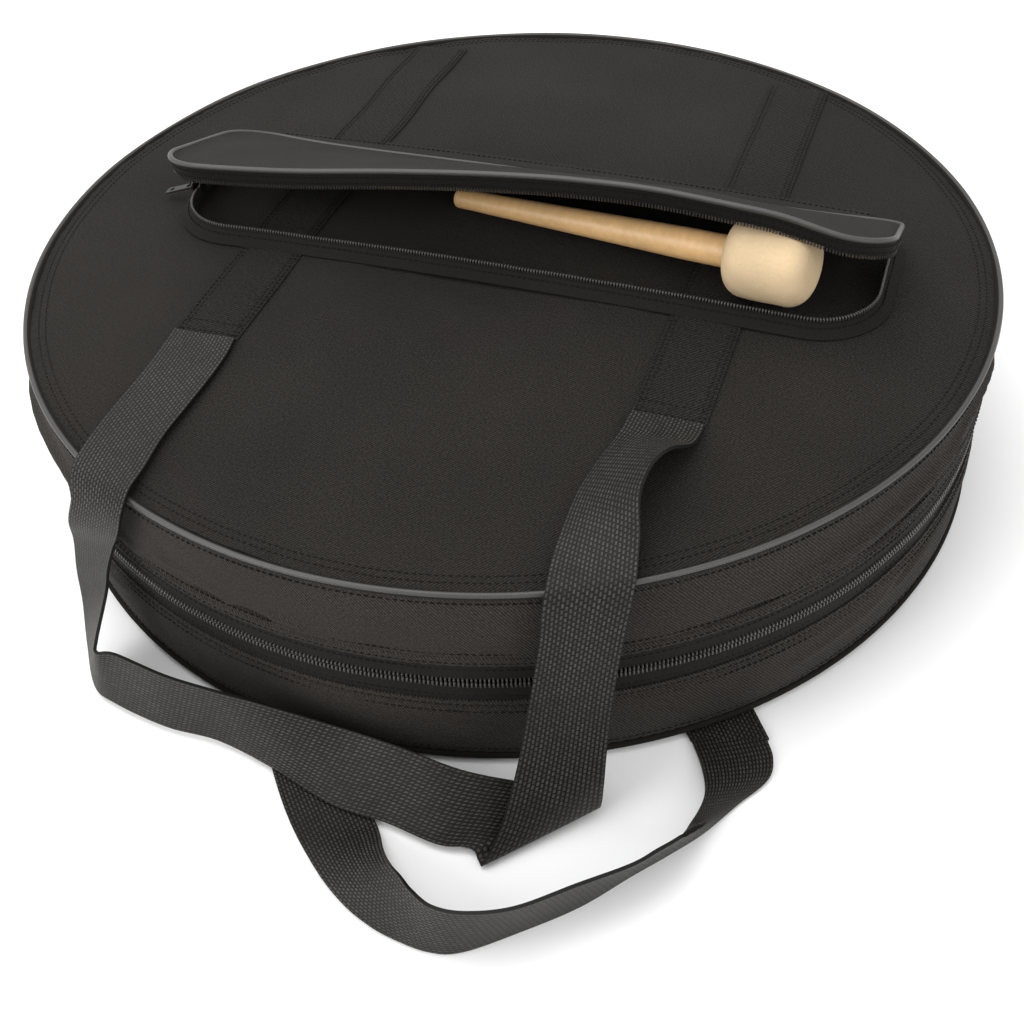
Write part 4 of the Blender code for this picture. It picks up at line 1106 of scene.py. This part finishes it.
class CASE_OT_pocket(bpy.types.Operator):
    """Make the beater pocket's lip with its zip teeth, and the seam behind its flap"""

    bl_idname = "drum_case.pocket"
    bl_label = "Pocket"

    def execute(self, context):
        rows = []
        section = ((8.2, 0.7), (7.0, 1.3), (6.0, 2.0), (4.4, 3.4), (2.4, 4.9), (1.0, 6.2), (0.4, 6.9))
        for grow, above in section:
            line = pocket_line(grow)
            wave = 0.25 * ripple(line[:, 0], line[:, 1], 40, 83)
            z = lid_plain(line[:, 0], line[:, 1]) + above + wave * min(above / 4, 1)
            rows.append(np.column_stack([line, z]))
        grid = np.stack(rows[::-1], axis=1)
        lip = skin("pocket_lip_cloth", grid, 1.0, finish("zip_tape"))
        put(lip, "lid", "canvas", "pocket_lip")
        line = pocket_line(0.4)
        wave = 0.25 * ripple(line[:, 0], line[:, 1], 40, 83)
        path = np.column_stack([line, lid_plain(line[:, 0], line[:, 1]) + 8.0 + wave])
        out = outward_of(path)
        pitch, size = POCKET_TEETH
        coil = teeth("pocket_lip_teeth", path, (0, 0, 1), out, pitch, finish("zip_coil"), size)
        put(coil, "lid", "coil", "pocket_lip_coil")
        seam = pocket_line(3.4)
        path = np.column_stack([seam, lid_plain(seam[:, 0], seam[:, 1]) + 4.5])
        stitched = [(path, outward_of(path) + (0, 0, 0.6))]

        xs = np.linspace(POCKET_X - 190, POCKET_X + 190, 120)
        rows = []
        for y, above in ((66.2, 3.0), (69.0, 3.3), (73.0, 2.6), (77.5, 1.5), (80.0, 1.0), (84.0, 0.8)):
            z = lid_plain(xs, y) + above + 0.15 * ripple(xs, 0 * xs, 30, 8)
            rows.append(np.stack([xs, 0 * xs + y, z], axis=1))
        grid = np.stack(rows[::-1], axis=1)
        gusset = skin("pocket_seam_cloth", grid, 0.9, finish("flap_canvas"), plan=True)
        put(gusset, "lid", "canvas", "pocket_back_gusset")
        line = np.stack([xs, 0 * xs + 80.6, lid_plain(xs, 80.6) + 1.05], axis=1)
        stitched.append((line, (0, 0, 1)))
        put(stitch_rows("pocket_stitches", stitched, finish("thread")), "lid", "canvas")
        return {"FINISHED"}


class CASE_OT_flap(bpy.types.Operator):
    """Make the pocket's raised flap with its piping, skirt and zip teeth"""

    bl_idname = "drum_case.flap"
    bl_label = "Pocket flap"

    def execute(self, context):
        left, right, inset = POCKET_X - FLAP_HALF, POCKET_X + FLAP_HALF, 0.9
        inner = FLAP_CORNER - inset
        rows = []
        for share in np.linspace(0, 1, 110):
            x = left + inset + (right - left - 2 * inset) * (0.5 - 0.5 * math.cos(math.pi * share))
            near = min(x - left, right - x) - inset
            cut = inner - math.sqrt(max(inner**2 - (inner - near) ** 2, 0.0)) if near < inner else 0.0
            low, high = cut + inset, FLAP_DEPTH - cut - inset
            row = []
            for part in np.linspace(0, 1, 18):
                depth = low + (high - low) * part
                puff = 2.4 * math.sin(math.pi * part) ** 0.7 * min(near / 25, 1)
                puff += 0.8 * ripple(x, depth, 60, 91) * math.sin(math.pi * part)
                row.append(flap_point(x, depth) + np.array([0, 0.4, 0.9]) * (puff + 0.6))
            rows.append(row)
        panel = skin("flap_cloth", rows, 1.2, finish("flap_canvas"))
        put(panel, "pocket_flap", "canvas", "flap_panel")
        loop = np.array([flap_point(x, d) for x, d in flap_edge(True)])
        cord = round_cord("flap_piping_cord", loop, (0, 0.5, 0.85), 1.55, finish("piping"))
        put(cord, "pocket_flap", "piping", "flap_piping")

        edge = flap_edge(False)
        rows = []
        for off, bulge in ((0.6, 0.3), (3.0, 0.5), (5.5, 0.1), (8.0, 0.4), (10.2, 0.1)):
            line = np.array([flap_point(x, d, off) for x, d in edge])
            rows.append(line + outward_of(line) * bulge)
        skirt = skin("flap_skirt_cloth", np.stack(rows, axis=1), 0.9, finish("zip_tape"))
        put(skirt, "pocket_flap", "canvas", "flap_skirt")
        path = np.array([flap_point(x, d, 11.3) for x, d in edge])
        tip = np.array([flap_point(x, d, 12.3) for x, d in edge]) - path
        out = outward_of(path)
        pitch, size = POCKET_TEETH
        coil = teeth("flap_teeth", path, tip, out, pitch, finish("zip_coil"), size)
        put(coil, "pocket_flap", "coil", "flap_coil")
        stitched = []
        for off in (4.0, 8.2):
            line = np.array([flap_point(x, d, off) for x, d in edge])
            stitched.append((line + outward_of(line) * 0.5, outward_of(line)))
        put(stitch_rows("flap_stitches", stitched, finish("thread")), "pocket_flap", "canvas")
        return {"FINISHED"}


# ---------------------------------------------------------------- beater, handles, sliders


def turned_piece(name, profile, place, material, sides=64, rough=0.0):
    """A turned piece from (radius, distance) pairs along an axis."""
    turns = np.linspace(0, 2 * math.pi, sides + 1)
    profile = np.asarray(profile, float)
    rows = []
    for r, z in profile:
        wobble = r * (1 + rough * ripple(np.cos(turns) * r, np.sin(turns) * r + z * 0.7, 9, 41))
        rows.append(np.stack([wobble * np.cos(turns), wobble * np.sin(turns), 0 * turns + z], axis=1))
    grid = np.stack(rows)
    faces = grid_faces(*grid.shape[:2])
    uvs = np.stack(np.meshgrid(turns * 10, profile[:, 1]), axis=2).reshape(-1, 2)
    piece = mesh_object(name, grid.reshape(-1, 3), faces, material, uvs, 80)
    piece.matrix_world = place
    return piece


class CASE_OT_beater(bpy.types.Operator):
    """Make the beater: a tapered maple stick with a felt head"""

    bl_idname = "drum_case.beater"
    bl_label = "Beater"

    def execute(self, context):
        axis = (HEAD_CENTRE - STICK_TIP).normalized()
        reach = (HEAD_CENTRE - STICK_TIP).length
        place = Matrix.Translation(STICK_TIP / 1000) @ axis.to_track_quat("Z", "Y").to_matrix().to_4x4()
        tip = [(0.05, 0), (3.9, 0.05), (4.9, 0.4), (5.5, 1.1), (5.75, 2.2), (5.8, 6)]
        shaft = [(5.8 + 3.1 * (z - 6) / 144, z) for z in range(14, 151, 8)]
        stick = turned_piece("beater_stick_turned", tip + shaft + [(8.9, reach)], place, finish("maple"), 40)
        put(stick, "beater", "wood", "beater_stick")
        face, radius, half, edge = reach - 23.5, 22.4, 23.5, 11.0
        profile = [(8.6, face + 1.6), (9.4, face + 0.3)]
        bend = np.linspace(0, math.pi / 2, 14)
        profile += [(radius - edge + edge * math.sin(a), face + edge - edge * math.cos(a)) for a in bend]
        sides = ((radius + 0.25 * math.sin(s * math.pi), face + edge + s * 22) for s in (0.2, 0.4, 0.6, 0.8))
        profile += sides
        back = face + 2 * half
        profile += [(radius - edge + edge * math.cos(a), back - edge + edge * math.sin(a)) for a in bend]
        profile += [(7.0, back + 0.4), (3.0, back + 0.6), (0.05, back + 0.65)]
        head = turned_piece("beater_felt_head", profile, place, finish("felt"), 72, 0.006)
        put(head, "beater", "felt", "beater_felt")
        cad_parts["beater_core"].material_slots[0].material = finish("maple")
        return {"FINISHED"}


def webbing_grid(stations, per=7, across=11, crown=0.25):
    """A strap between pairs of edge points, with its length along each edge for the weave."""
    stations = np.asarray(stations, float)
    left, right = catmull(stations[:, 0], per), catmull(stations[:, 1], per)
    share = np.linspace(0, 1, across)[None, :, None]
    grid = left[:, None] * (1 - share) + right[:, None] * share
    flat = share[..., 0]
    along = run_length(left)[:, None] * (1 - flat) + run_length(right)[:, None] * flat
    uv = np.stack([flat * WEBBING_WIDTH + 0 * along, along], axis=2)
    normal = unit(np.cross(np.gradient(grid, axis=1), np.gradient(grid, axis=0)))
    return grid + normal * (0.8 + crown * (1 - (2 * share - 1) ** 2)), uv


class CASE_OT_handles(bpy.types.Operator):
    """Make the two webbing handles and the legs of the lower one"""

    bl_idname = "drum_case.handles"
    bl_label = "Handles"

    def execute(self, context):
        for name, stations in (("lid_handle", LID_HANDLE), ("base_handle", BASE_HANDLE)):
            grid, uv = webbing_grid(stations)
            strap = skin(f"{name}_webbing", grid, 1.7, finish("webbing"), uv=uv)
            put(strap, name, "webbing", name)
        legs = (
            ("left", Vector((-120, -143.5, 0)), Vector((-13.8, -286.7, 0))),
            ("right", Vector((134.5, -143, 0)), Vector((187.9, -220.7, 0))),
        )
        fold = (legs[1][2] - legs[0][2]).normalized()
        half, up = WEBBING_WIDTH / 2, Vector((0, 0, 1.1))
        for name, foot, toe in legs:
            along = (toe - foot).normalized()
            aside = Vector((-along.y, along.x, 0))
            stretch = fold / fold.dot(aside)
            heel = (foot - aside * half + up, foot + aside * half + up)
            end = (toe - stretch * half + up, toe + stretch * half + up)
            grid, uv = webbing_grid([heel, end], per=30)
            leg = skin(f"base_leg_{name}_webbing", grid, 1.7, finish("webbing"), uv=uv)
            put(leg, "base", "webbing", f"base_handle_leg_{name}")
        return {"FINISHED"}


def cut_plate(name, outlines, half, bevel, place, material):
    """A flat plate cut from outlines of (across, up) points, with its edges rounded."""
    curve = bpy.data.curves.new(name, "CURVE")
    curve.dimensions = "2D"
    curve.fill_mode = "BOTH"
    curve.extrude = (half - bevel) / 1000
    curve.bevel_depth = bevel / 1000
    curve.bevel_resolution = 2
    curve.offset = -bevel / 1000
    for outline in outlines:
        spline = curve.splines.new("POLY")
        spline.points.add(len(outline) - 1)
        for point, (x, y) in zip(spline.points, outline):
            point.co = (x / 1000, y / 1000, 0, 1)
        spline.use_cyclic_u = True
    flat = bpy.data.objects.new(f"{name}_outline", curve)
    bpy.context.scene.collection.objects.link(flat)
    bpy.context.view_layer.update()
    mesh = bpy.data.meshes.new_from_object(flat.evaluated_get(bpy.context.evaluated_depsgraph_get()))
    bpy.data.objects.remove(flat, do_unlink=True)
    mesh.name = name
    mesh.materials.clear()
    mesh.materials.append(material)
    mesh.shade_smooth()
    mesh.set_sharp_from_angle(angle=math.radians(40))
    plate = bpy.data.objects.new(name, mesh)
    bpy.context.scene.collection.objects.link(plate)
    plate.matrix_world = place
    return plate


def rounded(width_low, width_high, low, high, corner=1.0, steps=5):
    """A rounded outline whose width changes from its low end to its high end."""
    corners = ((width_low, low), (width_high, high), (-width_high, high), (-width_low, low))
    points = []
    for (x, y), turn in zip(corners, (1.5, 0.0, 0.5, 1.0)):
        cx, cy = x - math.copysign(corner, x), y + (corner if y == low else -corner)
        for i in range(steps + 1):
            a = math.pi * (turn + 0.5 * i / steps)
            points.append((cx + corner * math.cos(a), cy + corner * math.sin(a)))
    return points


def slider_set(name, place, height, inside, outside, raised, slider_body, pull_body):
    """A zip slider and its pull; place has X outwards, Y along the zip and Z up."""
    metal = finish("slider")
    stand = Matrix.Rotation(math.pi / 2, 4, "Y") @ Matrix.Rotation(math.pi / 2, 4, "Z")
    parts = []
    plate = [rounded(3.4, 4.6, -height, height, 1.6)]
    for label, x in (("outer", outside + 0.6), ("inner", inside - 0.6)):
        at = place @ Matrix.Translation((x / 1000, 0, 0)) @ stand
        parts.append(cut_plate(f"{name}_{label}_plate", plate, 0.6, 0.35, at, metal))
    x3 = outside + 1.2
    over = ((-0.4, -3.0), (2.4, -3.0), (2.9, -2.4), (2.9, 2.0), (2.4, 2.6), (-0.4, 2.6))
    under = ((-0.4, 1.6), (1.6, 1.6), (1.9, 1.2), (1.9, -1.6), (1.6, -2.0), (-0.4, -2.0))
    bridge = [(x3 + x, y) for x, y in over + under]
    at = place @ Matrix.Rotation(math.pi / 2, 4, "X")
    parts.append(cut_plate(f"{name}_bridge", [bridge], 1.0, 0.3, at, metal))
    for i, part in enumerate(parts):
        put(part, slider_body, "slider_metal", *([slider_body] if i == 0 else []))
    tab = rounded(3.3, 2.9, -21.0, 0.6, 1.2)
    window = rounded(1.7, 1.7, -4.5, -0.6, 0.5)[::-1]
    turns = np.linspace(2 * math.pi, 0, 20, endpoint=False)
    hole = [(1.5 * math.cos(a), -16.5 + 1.5 * math.sin(a)) for a in turns]
    hang = Matrix.Translation(((x3 + 0.95) / 1000, 0, -0.0002)) @ Matrix.Rotation(-raised, 4, "Y")
    tab_plate = cut_plate(f"{name}_tab", [tab, window, hole], 0.6, 0.3, place @ hang @ stand, metal)
    put(tab_plate, pull_body, "slider_metal", pull_body)


class CASE_OT_sliders(bpy.types.Operator):
    """Make the two zip sliders with their pulls"""

    bl_idname = "drum_case.sliders"
    bl_label = "Zip sliders"

    def execute(self, context):
        place = Matrix.Rotation(SLIDER_ANGLE, 4, "Z") @ Matrix.Translation((0.2767, 0, 0.061))
        slider_set("main", place, 5.5, -2.4, 1.8, 0.0, "main_slider", "main_pull")
        x, y = POCKET_X - POCKET_HALF, POCKET_FRONT + POCKET_CORNER
        height = (lid_plain(x, y) + 9.4) / 1000
        place = Matrix.Translation((x / 1000, y / 1000, height)) @ Matrix.Rotation(math.pi, 4, "Z")
        slider_set("pocket", place, 3.2, -2.0, 2.0, math.radians(70), "pocket_slider", "pocket_pull")
        return {"FINISHED"}


class CASE_OT_inside(bpy.types.Operator):
    """Give the linings inside the case their quilted finish"""

    bl_idname = "drum_case.inside"
    bl_label = "Linings"

    def execute(self, context):
        for name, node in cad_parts.items():
            if name.endswith("lining"):
                node.material_slots[0].material = finish("lining")
            elif name.endswith("foam"):
                node.material_slots[0].material = finish("foam")
        return {"FINISHED"}


class CASE_OT_stage(bpy.types.Operator):
    """Make the pale floor, the soft studio lights and the camera"""

    bl_idname = "drum_case.stage"
    bl_label = "Stage"

    def execute(self, context):
        scene = context.scene
        mesh = bpy.data.meshes.new("studio_floor")
        reach, level = 6.0, -0.0004
        corners = [(reach * x, reach * y, level) for x, y in ((-1, -1), (1, -1), (1, 1), (-1, 1))]
        mesh.from_pydata(corners, [], [(0, 1, 2, 3)])
        mesh.materials.append(finish("floor"))
        floor = bpy.data.objects.new("studio_floor", mesh)
        scene.collection.objects.link(floor)
        lamps = (
            ("overhead_softbox", (-0.6, 0.2, 2.3), (0, 0, 0), 2.4, 36),
            ("front_softbox", (-1.5, -1.9, 1.3), (0, 0, 0.05), 1.7, 34),
            ("side_softbox", (2.1, -1.0, 1.1), (0, 0, 0.05), 1.5, 16),
        )
        for name, spot, aim, size, power in lamps:
            lamp = bpy.data.lights.new(name, "AREA")
            lamp.shape = "DISK"
            lamp.size = size
            lamp.energy = power
            lamp_object = bpy.data.objects.new(name, lamp)
            lamp_object.location = spot
            lamp_object.rotation_euler = (Vector(aim) - Vector(spot)).to_track_quat("-Z", "Y").to_euler()
            scene.collection.objects.link(lamp_object)
        world = bpy.data.worlds.new("studio")
        world.use_nodes = True
        nodes = world.node_tree.nodes
        nodes.clear()
        sky = nodes.new("ShaderNodeBackground")
        sky.label = "Even studio light"
        sky.inputs["Color"].default_value = (1.0, 1.0, 1.0, 1.0)
        sky.inputs["Strength"].default_value = 0.95
        out = nodes.new("ShaderNodeOutputWorld")
        out.label = "Studio"
        world.node_tree.links.new(sky.outputs["Background"], out.inputs["Surface"])
        spread(nodes)
        scene.world = world
        scene.view_settings.view_transform = "Standard"
        scene.view_settings.look = "None"
        lens = bpy.data.cameras.new("camera")
        lens.lens = sizes().camera_lens
        lens.sensor_width = 36.0
        camera = bpy.data.objects.new("camera", lens)
        ahead = Vector(CAMERA_AHEAD).normalized()
        right = ahead.cross(Vector(CAMERA_UP)).normalized()
        up = right.cross(ahead)
        turn = Matrix((right, up, -ahead)).transposed().to_4x4()
        camera.matrix_world = Matrix.Translation(CAMERA_PLACE) @ turn
        scene.collection.objects.link(camera)
        scene.camera = camera
        return {"FINISHED"}


PIECES = (
    CASE_OT_stage,
    CASE_OT_lid,
    CASE_OT_base,
    CASE_OT_covers,
    CASE_OT_pocket,
    CASE_OT_flap,
    CASE_OT_beater,
    CASE_OT_handles,
    CASE_OT_sliders,
    CASE_OT_inside,
)


class CASE_PT_panel(bpy.types.Panel):
    """Sizes, colours and pieces of the drum case"""

    bl_label = "Drum case"
    bl_idname = "CASE_PT_panel"
    bl_space_type = "VIEW_3D"
    bl_region_type = "UI"
    bl_category = "Drum case"

    def draw(self, context):
        for group in (sizes(), colours()):
            box = self.layout.box()
            for name in group.bl_rna.properties.keys():
                if name not in ("rna_type", "name"):
                    box.prop(group, name)
        for piece in PIECES:
            self.layout.operator(piece.bl_idname)


CLASSES = (CaseSizes, CaseColours, *PIECES, CASE_PT_panel)


def register():
    for cls in CLASSES:
        bpy.utils.register_class(cls)
    bpy.types.Scene.drum_case_sizes = PointerProperty(type=CaseSizes)
    bpy.types.Scene.drum_case_colours = PointerProperty(type=CaseColours)


def unregister():
    del bpy.types.Scene.drum_case_colours
    del bpy.types.Scene.drum_case_sizes
    for cls in reversed(CLASSES):
        bpy.utils.unregister_class(cls)


def main():
    register()
    bpy.ops.drum_case.stage()
    bpy.ops.drum_case.lid()
    bpy.ops.drum_case.base()
    bpy.ops.drum_case.covers()
    bpy.ops.drum_case.pocket()
    bpy.ops.drum_case.flap()
    bpy.ops.drum_case.beater()
    bpy.ops.drum_case.handles()
    bpy.ops.drum_case.sliders()
    bpy.ops.drum_case.inside()


if __name__ == "__main__":
    main()
